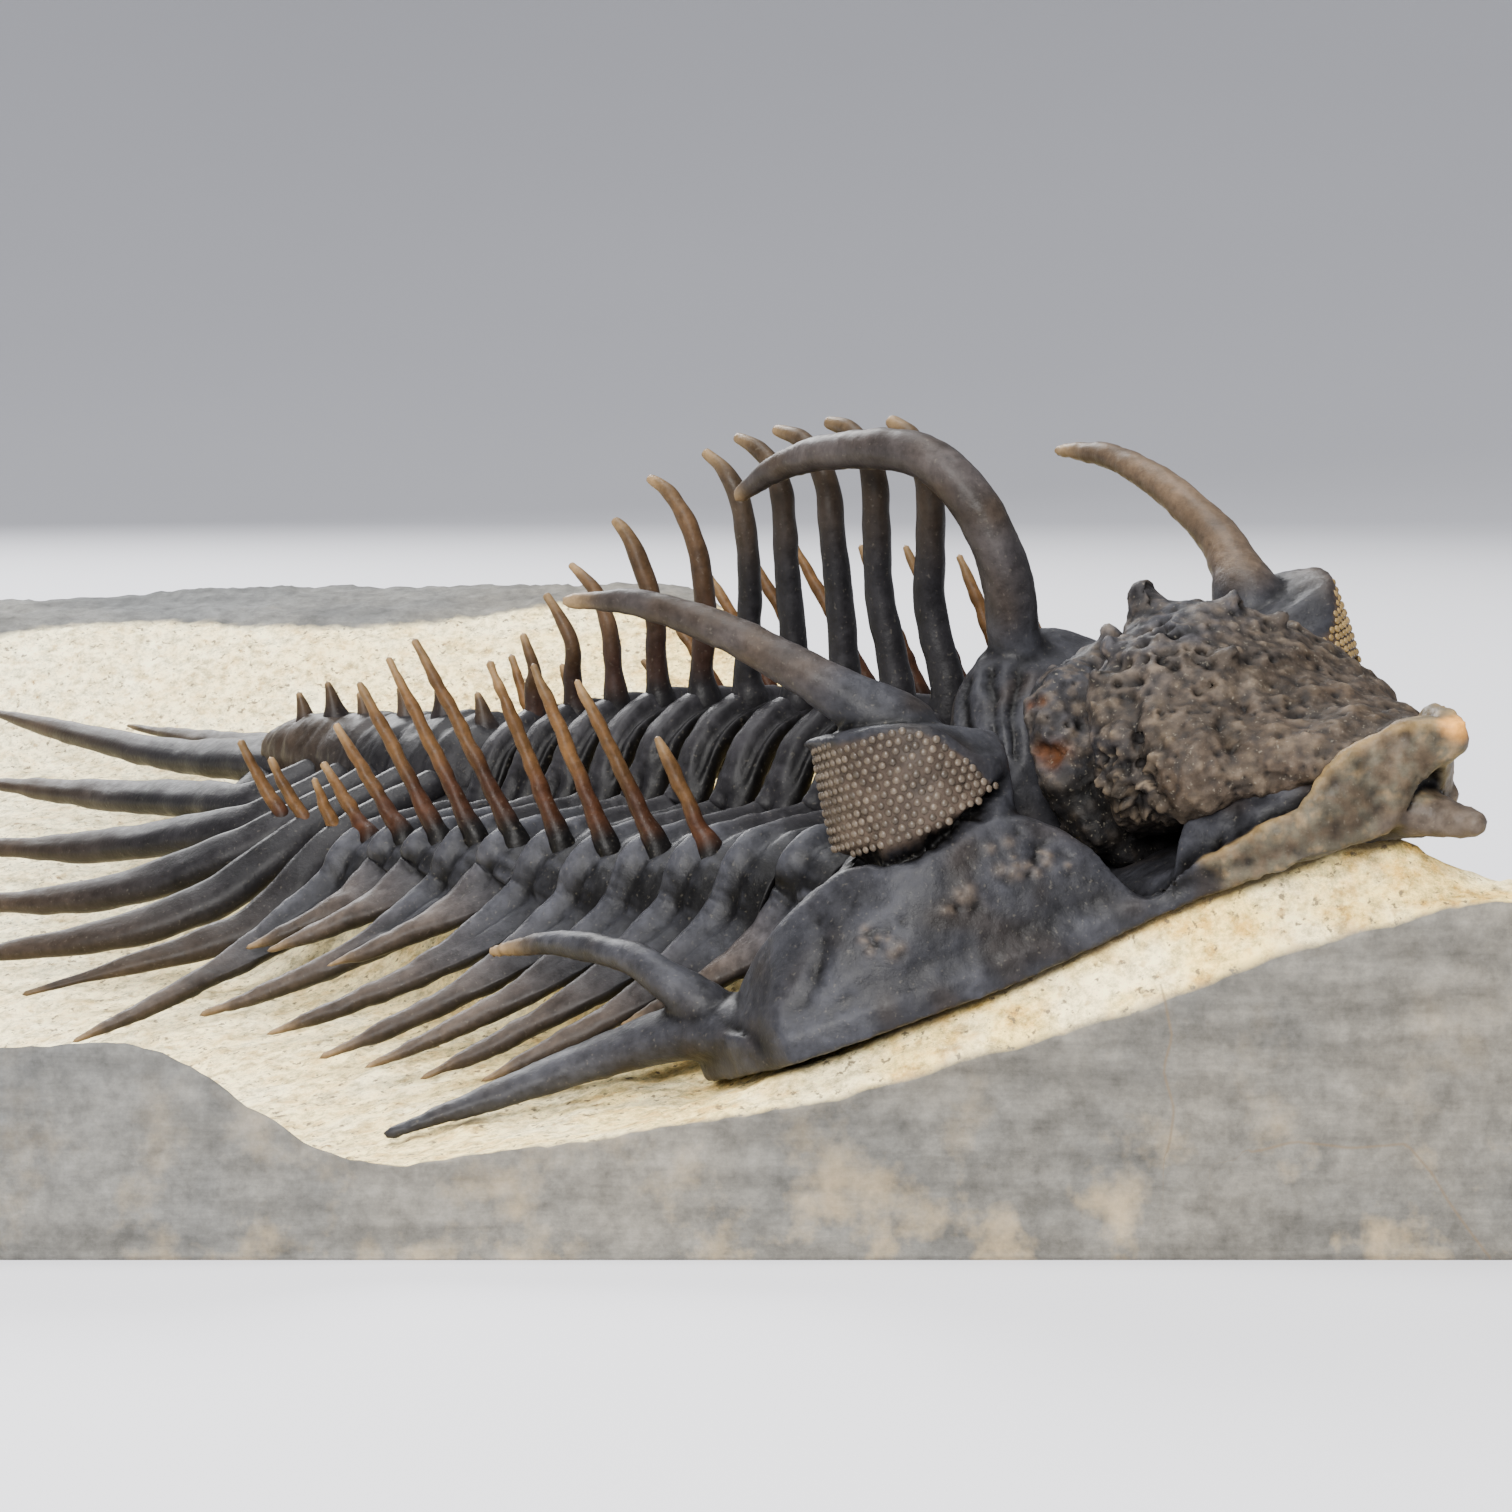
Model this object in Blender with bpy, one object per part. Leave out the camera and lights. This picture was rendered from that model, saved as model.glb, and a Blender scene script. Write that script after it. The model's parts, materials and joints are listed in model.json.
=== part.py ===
"""Spiny trilobite fossil prepared free on a slab of its limestone matrix."""
import math

import bmesh
import bpy
from mathutils import Matrix, Vector, noise
from mathutils.bvhtree import BVHTree

# Overall layout, in millimetres; the script converts to metres when it places a mesh
MM = 0.001
COLLECTION_NAME = "comura_trilobite"
PLACE_SHIFT = (13.5, -18.95, 0.0)
SHARP_DEG = 50.0

# How the animal lies on the slab: turned, head a little down, left side up
BODY_YAW_DEG = -46.5
BODY_PITCH_DEG = -4.8
BODY_ROLL_DEG = 11.4
BODY_LIFT = 5.13

# Head shield, drawn in its own frame that is tipped up from the body
HEAD_PITCH_DEG = 22.0
HEAD_HALF_WIDTH = 12.4
HEAD_COLUMNS = 20
HEAD_ROWS = 11
HEAD_FRONT_OUTLINE = [(0.0, 15.0), (1.0, 14.7), (1.9, 14.1), (3.1, 12.9), (4.6, 10.8),
                      (6.0, 9.6), (8.2, 8.2), (10.3, 6.7), (12.4, 4.8)]
HEAD_BACK_OUTLINE = [(0.0, 3.9), (4.0, 3.6), (6.5, 2.8), (8.5, 1.4), (10.4, 0.2), (12.4, 2.6)]
BORDER_TOP = [(0.0, 3.1), (1.0, 2.9), (1.8, 2.3), (3.1, 1.9), (4.6, 1.5), (6.0, 1.2), (8.2, 1.0),
              (12.4, 1.0)]
BORDER_FOOT = [(0.0, 1.0), (3.1, 1.1), (4.6, 0.9), (6.0, 0.6), (8.2, 0.4), (12.4, 0.4)]
BORDER_WIDTH = 0.15
CHEEK_RISE = 3.5
CHEEK_SLOPE_WIDTH = 1.0
CHEEK_BACK_WIDTH = 1.4
CHEEK_BACK_SHARE = 0.8
GENAL_START = 11.8
GENAL_WIDTH = 3.4
GENAL_SHARE = 0.35
FRONT_SLANT = 0.75
ROW_CROWDING = 1.4

# Glabella, an inflated lobe with a smaller lobe and a neck ring behind it
GLABELLA_CENTRE = (9.2, 0.0, 4.3)
GLABELLA_HALF = (5.3, 4.1, 3.3)
GLABELLA_NOSE_DOWN_DEG = 12.0
BACK_LOBE_CENTRE = (5.6, 0.0, 4.6)
BACK_LOBE_HALF = (2.4, 3.0, 3.0)
NECK_RING_CENTRE = (4.7, 0.0, 4.1)
NECK_RING_HALF = (1.0, 3.0, 3.1)

# Compound eyes: a leaning, tapering drum with a lid
EYE_BASE_CENTRE = (5.6, 7.0, 3.3)
EYE_BASE_HALF = (2.7, 2.2)
EYE_HEIGHT = 3.6
EYE_TOP_SCALE = 0.92
EYE_LEAN = (0.2, -0.3)
EYE_LID_HALF = (2.75, 2.15, 0.45)
EYE_SIDES = 16
EYE_SWELL_CENTRE = (5.8, 6.8, 3.1)
EYE_SWELL_HALF = (3.0, 2.7, 1.6)

# Spines of the head, in body coordinates, as (x, y, z, radius)
LID_SPINE = [(3.4, 6.6, 7.9, 0.9), (2.1, 7.3, 9.4, 0.72), (0.7, 7.9, 10.3, 0.56),
             (-1.2, 8.4, 11.1, 0.48), (-3.4, 8.9, 11.6, 0.38), (-5.0, 9.2, 11.6, 0.28),
             (-6.2, 9.4, 11.45, 0.12)]
NECK_SPINE = [(1.9, -0.4, 6.6, 1.1), (1.3, -0.7, 8.6, 0.72), (1.3, -0.9, 11.2, 0.66),
              (0.6, -1.1, 12.9, 0.62), (-0.5, -1.3, 13.9, 0.6), (-1.7, -1.4, 14.15, 0.58),
              (-3.4, -1.4, 14.0, 0.52), (-5.0, -1.4, 13.7, 0.46), (-6.6, -1.4, 13.1, 0.36),
              (-8.2, -1.4, 12.1, 0.14)]
GENAL_SPINE = [(2.2, 10.6, 2.2, 1.3), (-0.3, 11.4, 1.8, 1.15), (-2.4, 12.9, 1.0, 0.8),
               (-4.3, 15.2, 0.2, 0.5), (-5.7, 17.6, -0.3, 0.1)]
CHEEK_SPINE = [(0.4, 11.1, 1.9, 0.75), (-0.8, 11.7, 3.0, 0.5), (-2.2, 11.7, 3.35, 0.42),
               (-5.2, 11.5, 3.05, 0.33), (-8.7, 11.2, 2.0, 0.08)]

# Front border points: an upper one and a lower one
UPPER_POINT = [(10.9, 0.0, 7.3, 1.6), (12.6, 0.0, 7.9, 1.25), (14.0, 0.0, 8.2, 0.8), (14.8, 0.0, 8.1, 0.25)]
LOWER_POINT = [(11.6, 0.0, 5.8, 1.2), (13.6, 0.0, 6.3, 0.75), (15.2, 0.0, 6.5, 0.15)]

# Thorax: eleven rings, measured at their middle in body coordinates
RING_COUNT = 11
RING_FRONT_X = 0.0
RING_PITCH = 1.96
RING_HALF_WIDTH = 0.80
RING_FLATNESS = 0.72
AXIS_HALF_WIDTH = 3.1
AXIS_TAPER = 0.07
CREST_HEIGHT = [7.1, 6.9, 6.8, 6.6, 6.4, 6.2, 5.9, 5.6, 5.15, 4.7, 4.2]
HINGE_Y = [6.8, 6.9, 7.0, 7.1, 7.2, 7.2, 7.2, 7.1, 6.9, 6.7, 6.5]
HINGE_Z = [4.9, 4.6, 4.25, 3.9, 3.6, 3.4, 3.1, 2.8, 2.4, 2.0, 1.6]
BLADE_TIP = [(-3.2, 11.4, 1.2), (-5.7, 14.1, 0.0), (-7.6, 14.6, -0.2), (-9.7, 14.8, -0.3),
             (-11.5, 14.9, -0.4), (-14.2, 14.7, -0.4), (-14.6, 12.2, 0.7), (-18.2, 14.2, -0.9),
             (-18.3, 11.6, 0.2), (-20.0, 11.2, -0.2), (-22.2, 16.0, -2.0)]
BLADE_STEPS = [(0.24, 0.74), (0.44, 0.56), (0.72, 0.36), (1.0, 0.08)]
BLADE_SWEEP = 1.5
BLADE_DROP = 0.62

# Upright spines on the axis of each ring, as (x, z) from base to tip
AXIAL_SPINE = {
    2: [(-2.5, 9.6), (-2.3, 12.5), (-2.9, 13.9), (-3.9, 14.4)],
    3: [(-4.4, 9.8), (-4.4, 12.8), (-5.2, 13.9), (-6.4, 14.1)],
    4: [(-6.0, 10.2), (-6.3, 12.6), (-7.2, 13.5), (-8.5, 13.7)],
    5: [(-7.9, 10.0), (-8.0, 12.2), (-8.8, 13.1), (-9.9, 13.4)],
    6: [(-9.4, 9.2), (-9.4, 11.4), (-10.0, 12.5), (-10.8, 13.0)],
    7: [(-11.3, 8.6), (-11.6, 10.5), (-12.4, 11.6), (-13.3, 12.0)],
    8: [(-13.6, 8.0), (-14.0, 9.4), (-14.5, 10.2), (-15.0, 10.6)],
    9: [(-15.7, 7.2), (-16.2, 8.3), (-17.2, 9.0)],
    10: [(-17.5, 6.4), (-17.9, 7.2), (-18.5, 7.9)],
    11: [(-19.4, 5.4), (-19.8, 6.5)],
}
AXIAL_SPINE_SIDE = {2: 0.5, 3: 0.6, 4: 0.6, 5: 0.4}
AXIAL_SPINE_BASE_RADIUS = 0.52
AXIAL_SPINE_SHRINK = 0.028

# Slender spines standing on the hinge line, tips in body coordinates
HINGE_SPINE_TIP = {
    3: (-5.6, 7.2, 7.4), 4: (-8.4, 7.4, 8.6), 5: (-10.4, 7.2, 8.7), 6: (-12.3, 7.2, 8.5),
    7: (-15.6, 7.2, 8.7), 8: (-17.2, 7.0, 7.9), 9: (-18.9, 6.9, 6.9), 10: (-20.6, 6.7, 5.3),
    11: (-21.9, 6.4, 3.8),
}
HINGE_SPINE_RADIUS = 0.30

# Tail shield
TAIL_AXIS = [(-21.0, 0.0, 1.5, 2.6), (-24.5, 0.0, 1.2, 2.25), (-28.5, 0.0, 1.05, 1.75),
             (-31.5, 0.0, 0.95, 1.3), (-33.6, 0.0, 0.5, 0.7)]
TAIL_AXIS_FLATNESS = 0.92
TAIL_KNOBS = [(-22.2, 4.3), (-24.2, 4.5), (-26.2, 3.9), (-28.4, 3.4), (-30.1, 3.5), (-31.8, 2.9)]
TAIL_FIELD_RIM = [(-20.95, 6.2, 1.1), (-23.6, 5.9, 0.7), (-26.6, 5.3, 0.3), (-29.6, 4.5, 0.0),
                  (-32.4, 3.2, -0.2), (-34.0, 1.4, -0.3)]
TAIL_BLADES = [
    [(-21.9, 2.6, 2.0), (-22.2, 5.9, 1.0), (-22.5, 8.4, -0.4), (-23.3, 10.2, -1.0), (-26.7, 14.8, -2.0)],
    [(-23.7, 2.4, 1.8), (-24.2, 5.6, 0.8), (-25.5, 8.6, -0.6), (-27.8, 11.4, -1.4), (-32.5, 14.7, -2.2)],
    [(-25.6, 2.2, 1.5), (-26.2, 5.2, 0.5), (-28.6, 7.6, -0.6), (-32.0, 9.6, -1.5), (-37.6, 11.8, -2.2)],
    [(-27.5, 1.9, 1.2), (-28.4, 4.4, 0.2), (-31.8, 5.4, -0.6), (-36.5, 6.6, -1.5), (-43.5, 8.4, -2.2)],
    [(-29.5, 1.5, 0.9), (-30.6, 3.3, 0.1), (-34.6, 3.0, -0.5), (-41.0, 3.2, -1.3), (-49.0, 3.8, -2.0)],
]
TAIL_BLADE_RADII = [0.72, 0.85, 0.78, 0.60, 0.08]
TAIL_POINT = [(-31.8, 0.0, 0.6, 1.2), (-35.5, 0.1, -0.1, 1.0), (-40.5, 0.3, -0.8, 0.75),
              (-47.0, 0.5, -1.1, 0.5), (-55.0, 0.9, -1.3, 0.08)]
TAIL_HINGE_SPINES = [((-22.2, 5.9, 1.0), (-22.9, 6.1, 3.1)), ((-24.2, 5.6, 0.9), (-25.4, 5.9, 3.3)),
                     ((-26.2, 5.2, 0.8), (-27.5, 5.5, 3.4))]

# Rock slab, in slab coordinates; its floor heights are along the body axis, in body coordinates
SLAB_NEAR_Y = -12.6
SLAB_LEFT_X = -47.0
SLAB_RIGHT_X = 20.0
SLAB_FAR_EDGE = [(-47.0, 49.0), (-24.5, 50.5), (-10.0, 48.0), (-4.0, 38.0), (4.0, 29.0), (12.0, 20.0),
                 (20.0, 7.0)]
SLAB_COLUMNS = 32
SLAB_ROW_SHARE = [(0.0, 0.0), (3.0, 0.05), (28.0, 1.0)]
SLAB_LEAST_THICKNESS = 0.8
SLAB_SIDE_INSET = 0.9
NEAR_WALL_SLOPE = 0.10
NEAR_WALL_TOP = [(-47.0, 5.11), (-25.5, 4.95), (-22.5, 5.05), (-21.0, 4.8), (-18.8, 3.56), (-17.2, 2.62),
                 (-15.3, 2.36), (-11.8, 2.62), (-8.4, 3.14), (-4.9, 3.87),
                 (-1.4, 4.8), (0.9, 5.52), (3.2, 6.23),
                 (5.5, 7.05), (7.8, 7.66), (10.4, 8.26), (20.0, 8.16)]
NEAR_WALL_BLEND = [(-22.0, 5.0), (-14.0, 4.0), (-8.0, 1.5), (20.0, 1.8)]
RIGHT_CREST = [(-6.0, 40.0), (3.0, 14.0), (7.0, 11.0), (9.0, 9.7), (10.5, 9.1), (20.0, 8.3)]
RIGHT_FALL = 0.17
FLOOR_HEIGHT = [(-60.0, -2.9), (-30.0, -2.9), (-20.0, -2.3), (-10.0, -1.2), (0.0, 0.4), (3.0, 1.6),
                (6.0, 3.0), (9.0, 4.75), (12.0, 6.1), (13.5, 6.35), (15.2, 6.0), (18.0, 6.1),
                (30.0, 6.6)]
CORE_HEIGHT = [(-36.0, -2.9), (-30.0, -1.4), (-20.0, 0.2), (-10.0, 2.0), (-1.5, 3.2), (-0.3, 0.0)]
CORE_HALF_WIDTH = 4.5
CORE_FOOT_WIDTH = 9.0
FAR_DIP_DEPTH = 2.6
FAR_DIP_ACROSS = (6.0, 8.0)
FAR_DIP_ALONG = (-6.0, 8.0)
FAR_BANK_HEIGHT = [(-47.0, 4.6), (-30.0, 3.6), (-12.0, 2.7)]
FAR_BANK_START_Y = 38.0
FAR_BANK_WIDTH = 8.0
SWELL_HEIGHT = 0.2
SWELL_SCALE = 0.16
CLEARANCE = 0.35
PROBE_STEPS = (-1.2, -0.6, 0.0, 0.6, 1.2)

# Surfaces
SHELL_COLOUR = (0.060, 0.054, 0.053)
SHELL_ROUGHNESS = 0.55
ROCK_COLOUR = (0.62, 0.57, 0.48)
ROCK_ROUGHNESS = 0.9


def body_matrix():
    yaw = Matrix.Rotation(math.radians(BODY_YAW_DEG), 4, "Z")
    pitch = Matrix.Rotation(-math.radians(BODY_PITCH_DEG), 4, "Y")
    roll = Matrix.Rotation(math.radians(BODY_ROLL_DEG), 4, "X")
    return Matrix.Translation((0.0, 0.0, BODY_LIFT)) @ yaw @ pitch @ roll


def head_matrix():
    return Matrix.Rotation(-math.radians(HEAD_PITCH_DEG), 4, "Y")


def mix(low, high, t):
    return low + (high - low) * t


def smooth(t):
    t = max(0.0, min(1.0, t))
    return t * t * (3.0 - 2.0 * t)


def table(rows, value):
    if value <= rows[0][0]:
        return rows[0][1]
    for (a, va), (b, vb) in zip(rows, rows[1:]):
        if value <= b:
            return mix(va, vb, (value - a) / (b - a))
    return rows[-1][1]


def clear_scene():
    for obj in list(bpy.data.objects):
        bpy.data.objects.remove(obj, do_unlink=True)


def object_from(bm, name):
    bmesh.ops.recalc_face_normals(bm, faces=bm.faces)
    mesh = bpy.data.meshes.new(name)
    bm.to_mesh(mesh)
    bm.free()
    obj = bpy.data.objects.new(name, mesh)
    bpy.context.scene.collection.objects.link(obj)
    return obj


def sweep(name, points, flatness=1.0, corner_steps=1):
    """A solid tapering tube along (x, y, z, radius) points, flattened in height."""
    curve = bpy.data.curves.new(name, "CURVE")
    curve.dimensions = "3D"
    curve.twist_mode = "Z_UP" if flatness < 1.0 else "MINIMUM"
    curve.bevel_depth = 1.0
    curve.bevel_resolution = corner_steps
    curve.use_fill_caps = True
    spline = curve.splines.new("POLY")
    spline.points.add(len(points) - 1)
    for point, (x, y, z, radius) in zip(spline.points, points):
        point.co = (x, y, z / flatness, 1.0)
        point.radius = radius
    holder = bpy.data.objects.new(name, curve)
    bpy.context.scene.collection.objects.link(holder)
    bpy.context.view_layer.update()
    graph = bpy.context.evaluated_depsgraph_get()
    mesh = bpy.data.meshes.new_from_object(holder.evaluated_get(graph))
    bpy.data.objects.remove(holder, do_unlink=True)
    bpy.data.curves.remove(curve)
    bm = bmesh.new()
    bm.from_mesh(mesh)
    bpy.data.meshes.remove(mesh)
    bmesh.ops.remove_doubles(bm, verts=bm.verts, dist=0.0005)
    bmesh.ops.scale(bm, verts=bm.verts, vec=(1.0, 1.0, flatness))
    return object_from(bm, name)


def mirrored(points, side):
    return [(p[0], p[1] * side) + tuple(p[2:]) for p in points]


def join(base, pieces):
    """Fuses the pieces into the base with exact unions and removes them."""
    for piece in pieces:
        cut = base.modifiers.new("join", "BOOLEAN")
        cut.operation = "UNION"
        cut.solver = "EXACT"
        cut.object = piece
        bpy.context.view_layer.update()
        graph = bpy.context.evaluated_depsgraph_get()
        mesh = bpy.data.meshes.new_from_object(base.evaluated_get(graph))
        base.modifiers.clear()
        old = base.data
        base.data = mesh
        bpy.data.meshes.remove(old)
        bpy.data.objects.remove(piece, do_unlink=True)
    bm = bmesh.new()
    bm.from_mesh(base.data)
    bmesh.ops.dissolve_degenerate(bm, edges=bm.edges, dist=0.0005)
    bm.to_mesh(base.data)
    bm.free()
    return base


def lump(name, centre, half, segments=20, rings=12, nose_down_deg=0.0):
    bm = bmesh.new()
    bmesh.ops.create_uvsphere(bm, u_segments=segments, v_segments=rings, radius=1.0)
    bmesh.ops.scale(bm, verts=bm.verts, vec=half)
    turn = Matrix.Rotation(math.radians(nose_down_deg), 3, "Y")
    bmesh.ops.rotate(bm, verts=bm.verts, cent=(0.0, 0.0, 0.0), matrix=turn)
    bmesh.ops.translate(bm, verts=bm.verts, vec=centre)
    return object_from(bm, name)


def tip_up(obj):
    obj.data.transform(head_matrix())


def head_height(u, y):
    across = abs(y)
    front = table(HEAD_FRONT_OUTLINE, across)
    inset = min((front - u) * FRONT_SLANT, HEAD_HALF_WIDTH + 0.1 - across)
    rise = smooth((inset - BORDER_WIDTH) / CHEEK_SLOPE_WIDTH)
    back = mix(CHEEK_BACK_SHARE, 1.0, smooth((u - table(HEAD_BACK_OUTLINE, across)) / CHEEK_BACK_WIDTH))
    genal = mix(GENAL_SHARE, 1.0, smooth((GENAL_START - across) / GENAL_WIDTH))
    return table(BORDER_TOP, across) + CHEEK_RISE * rise * back * genal


def head_shield():
    bm = bmesh.new()
    bmesh.ops.create_grid(bm, x_segments=HEAD_ROWS, y_segments=HEAD_COLUMNS, size=1.0)
    rim = [e for e in bm.edges if e.is_boundary]
    for vert in bm.verts:
        y = vert.co.y * HEAD_HALF_WIDTH
        t = (vert.co.x + 1.0) / 2.0
        t = 1.0 - (1.0 - t) ** ROW_CROWDING
        u = mix(table(HEAD_BACK_OUTLINE, abs(y)), table(HEAD_FRONT_OUTLINE, abs(y)), t)
        vert.co = (u, y, head_height(u, y))
    wall = bmesh.ops.extrude_edge_only(bm, edges=rim)
    for item in wall["geom"]:
        if isinstance(item, bmesh.types.BMVert):
            item.co.z = table(BORDER_FOOT, abs(item.co.y))
    floor = [g for g in wall["geom"] if isinstance(g, bmesh.types.BMEdge) and g.is_boundary]
    bmesh.ops.contextual_create(bm, geom=floor)
    bmesh.ops.triangulate(bm, faces=[f for f in bm.faces if len(f.verts) > 4])
    obj = object_from(bm, "cephalon")
    tip_up(obj)
    return obj


def eye(side):
    bm = bmesh.new()
    bmesh.ops.create_cone(bm, cap_ends=True, segments=EYE_SIDES, radius1=1.0,
                          radius2=EYE_TOP_SCALE, depth=EYE_HEIGHT)
    for vert in bm.verts:
        up = vert.co.z / EYE_HEIGHT + 0.5
        vert.co.x = vert.co.x * EYE_BASE_HALF[0] + EYE_BASE_CENTRE[0] + EYE_LEAN[0] * up
        vert.co.y = side * (vert.co.y * EYE_BASE_HALF[1] + EYE_BASE_CENTRE[1] + EYE_LEAN[1] * up)
        vert.co.z = EYE_BASE_CENTRE[2] + EYE_HEIGHT * up
        vert.co.z -= 0.2 * up * (vert.co.x - EYE_BASE_CENTRE[0])
    drum = object_from(bm, "eye")
    lid_centre = (EYE_BASE_CENTRE[0] + EYE_LEAN[0] - 0.1,
                  side * (EYE_BASE_CENTRE[1] + EYE_LEAN[1] - 0.1),
                  EYE_BASE_CENTRE[2] + EYE_HEIGHT)
    lid = lump("eye_lid", (0.0, 0.0, 0.0), EYE_LID_HALF, 16, 6)
    lid.data.transform(Matrix.Translation(lid_centre) @ Matrix.Rotation(math.radians(11.0), 4, "Y"))
    join(drum, [lid])
    tip_up(drum)
    return drum


def build_cephalon():
    shield = head_shield()
    pieces = [lump("glabella", GLABELLA_CENTRE, GLABELLA_HALF, 20, 12, GLABELLA_NOSE_DOWN_DEG),
              lump("back_lobe", BACK_LOBE_CENTRE, BACK_LOBE_HALF, 14, 8),
              lump("neck_ring", NECK_RING_CENTRE, NECK_RING_HALF, 14, 8)]
    for piece in pieces:
        tip_up(piece)
    for side in (-1.0, 1.0):
        swell = lump("eye_swell", (EYE_SWELL_CENTRE[0], side * EYE_SWELL_CENTRE[1], EYE_SWELL_CENTRE[2]),
                     EYE_SWELL_HALF, 14, 8)
        tip_up(swell)
        pieces.append(swell)
        pieces.append(eye(side))
        pieces.append(sweep("lid_spine", mirrored(LID_SPINE, side)))
        pieces.append(sweep("genal_spine", mirrored(GENAL_SPINE, side), 0.6))
        pieces.append(sweep("cheek_spine", mirrored(CHEEK_SPINE, side)))
    pieces.append(sweep("neck_spine", NECK_SPINE))
    pieces.append(sweep("upper_point", UPPER_POINT, 0.7))
    pieces.append(sweep("lower_point", LOWER_POINT, 0.6))
    return join(shield, pieces)


def ring_points(number):
    """Half of a ring from its crest out to the blade tip, as (x, y, z, radius)."""
    index = number - 1
    x = RING_FRONT_X - RING_PITCH * index
    crest = CREST_HEIGHT[index]
    hinge_y = HINGE_Y[index]
    hinge_z = HINGE_Z[index]
    axis = AXIS_HALF_WIDTH - AXIS_TAPER * index
    rise = RING_HALF_WIDTH * RING_FLATNESS
    low = hinge_z - 0.1
    points = [(x, 0.0, crest - rise, RING_HALF_WIDTH),
              (x, axis * 0.6, crest - rise - 0.5, RING_HALF_WIDTH),
              (x, axis, low + 0.3, RING_HALF_WIDTH * 0.95),
              (x - 0.03, axis + 0.6, low, RING_HALF_WIDTH * 0.92),
              (x - 0.2, hinge_y, hinge_z, RING_HALF_WIDTH)]
    tip = BLADE_TIP[index]
    start = Vector((x - 0.2, hinge_y, hinge_z))
    end = Vector(tip)
    for step, half in BLADE_STEPS:
        drop = step ** BLADE_DROP
        sweep_back = step ** BLADE_SWEEP
        points.append((mix(start.x, end.x, sweep_back), mix(start.y, end.y, step),
                       mix(start.z, end.z, drop), half))
    return points


def build_ring(number):
    half = ring_points(number)
    path = [(p[0], -p[1], p[2], p[3]) for p in reversed(half[1:])] + half
    ring = sweep("thorax_segment_%02d" % number, path, RING_FLATNESS)
    pieces = []
    index = number - 1
    x = RING_FRONT_X - RING_PITCH * index
    if number in AXIAL_SPINE:
        side = AXIAL_SPINE_SIDE.get(number, 0.0)
        radius = AXIAL_SPINE_BASE_RADIUS - AXIAL_SPINE_SHRINK * index
        line = [(x, 0.0, CREST_HEIGHT[index] - 0.8, radius * 1.4),
                (x, 0.1 * side, CREST_HEIGHT[index] + 0.5, radius * 1.05)]
        steps = AXIAL_SPINE[number]
        for count, (px, pz) in enumerate(steps):
            done = (count + 1) / len(steps)
            line.append((px, side * done, pz, radius * mix(1.0, 0.35, done ** 2)))
        pieces.append(sweep("axial_spine", line))
    if number in HINGE_SPINE_TIP:
        tip = HINGE_SPINE_TIP[number]
        start = (x - 0.2, HINGE_Y[index], HINGE_Z[index])
        for hand in (-1.0, 1.0):
            line = [(start[0], start[1], start[2] - 0.2, HINGE_SPINE_RADIUS * 1.5),
                    (mix(start[0], tip[0], 0.16), mix(start[1], tip[1], 0.2),
                     mix(start[2], tip[2], 0.25), HINGE_SPINE_RADIUS),
                    (mix(start[0], tip[0], 0.52), mix(start[1], tip[1], 0.6),
                     mix(start[2], tip[2], 0.64), HINGE_SPINE_RADIUS * 0.8),
                    tip + (HINGE_SPINE_RADIUS * 0.35,)]
            pieces.append(sweep("hinge_spine", mirrored(line, hand), 1.0, 0))
    return join(ring, pieces)


def tail_field():
    """The low pleural field of the tail as a thick sheet under the ribs."""
    bm = bmesh.new()
    rows = len(TAIL_FIELD_RIM) - 1
    bmesh.ops.create_grid(bm, x_segments=rows, y_segments=4, size=1.0)
    for vert in bm.verts:
        index = int(round((1.0 - vert.co.x) / 2.0 * rows))
        x, y, z = TAIL_FIELD_RIM[index]
        across = vert.co.y
        vert.co = (x, across * y, z + 0.7 * (1.0 - abs(across)))
    bmesh.ops.solidify(bm, geom=bm.faces[:], thickness=0.9)
    return object_from(bm, "pygidium")


def build_tail():
    body = tail_field()
    pieces = [sweep("tail_axis", TAIL_AXIS, TAIL_AXIS_FLATNESS, 1)]
    for x, z in TAIL_KNOBS:
        root = z - 2.0
        pieces.append(sweep("knob", [(x + 0.1, 0.0, root, 0.55), (x, 0.0, z - 0.4, 0.3),
                                     (x - 0.2, 0.0, z, 0.1)], 1.0, 0))
    for side in (-1.0, 1.0):
        for line in TAIL_BLADES:
            points = [p + (r,) for p, r in zip(line, TAIL_BLADE_RADII)]
            pieces.append(sweep("tail_blade", mirrored(points, side), 0.7))
        for start, tip in TAIL_HINGE_SPINES:
            line = [start[:2] + (start[2] - 0.3, 0.45), tip + (0.12,)]
            pieces.append(sweep("tail_spine", mirrored(line, side), 1.0, 0))
    pieces.append(sweep("tail_point", TAIL_POINT, 0.7))
    return join(body, pieces)


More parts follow.
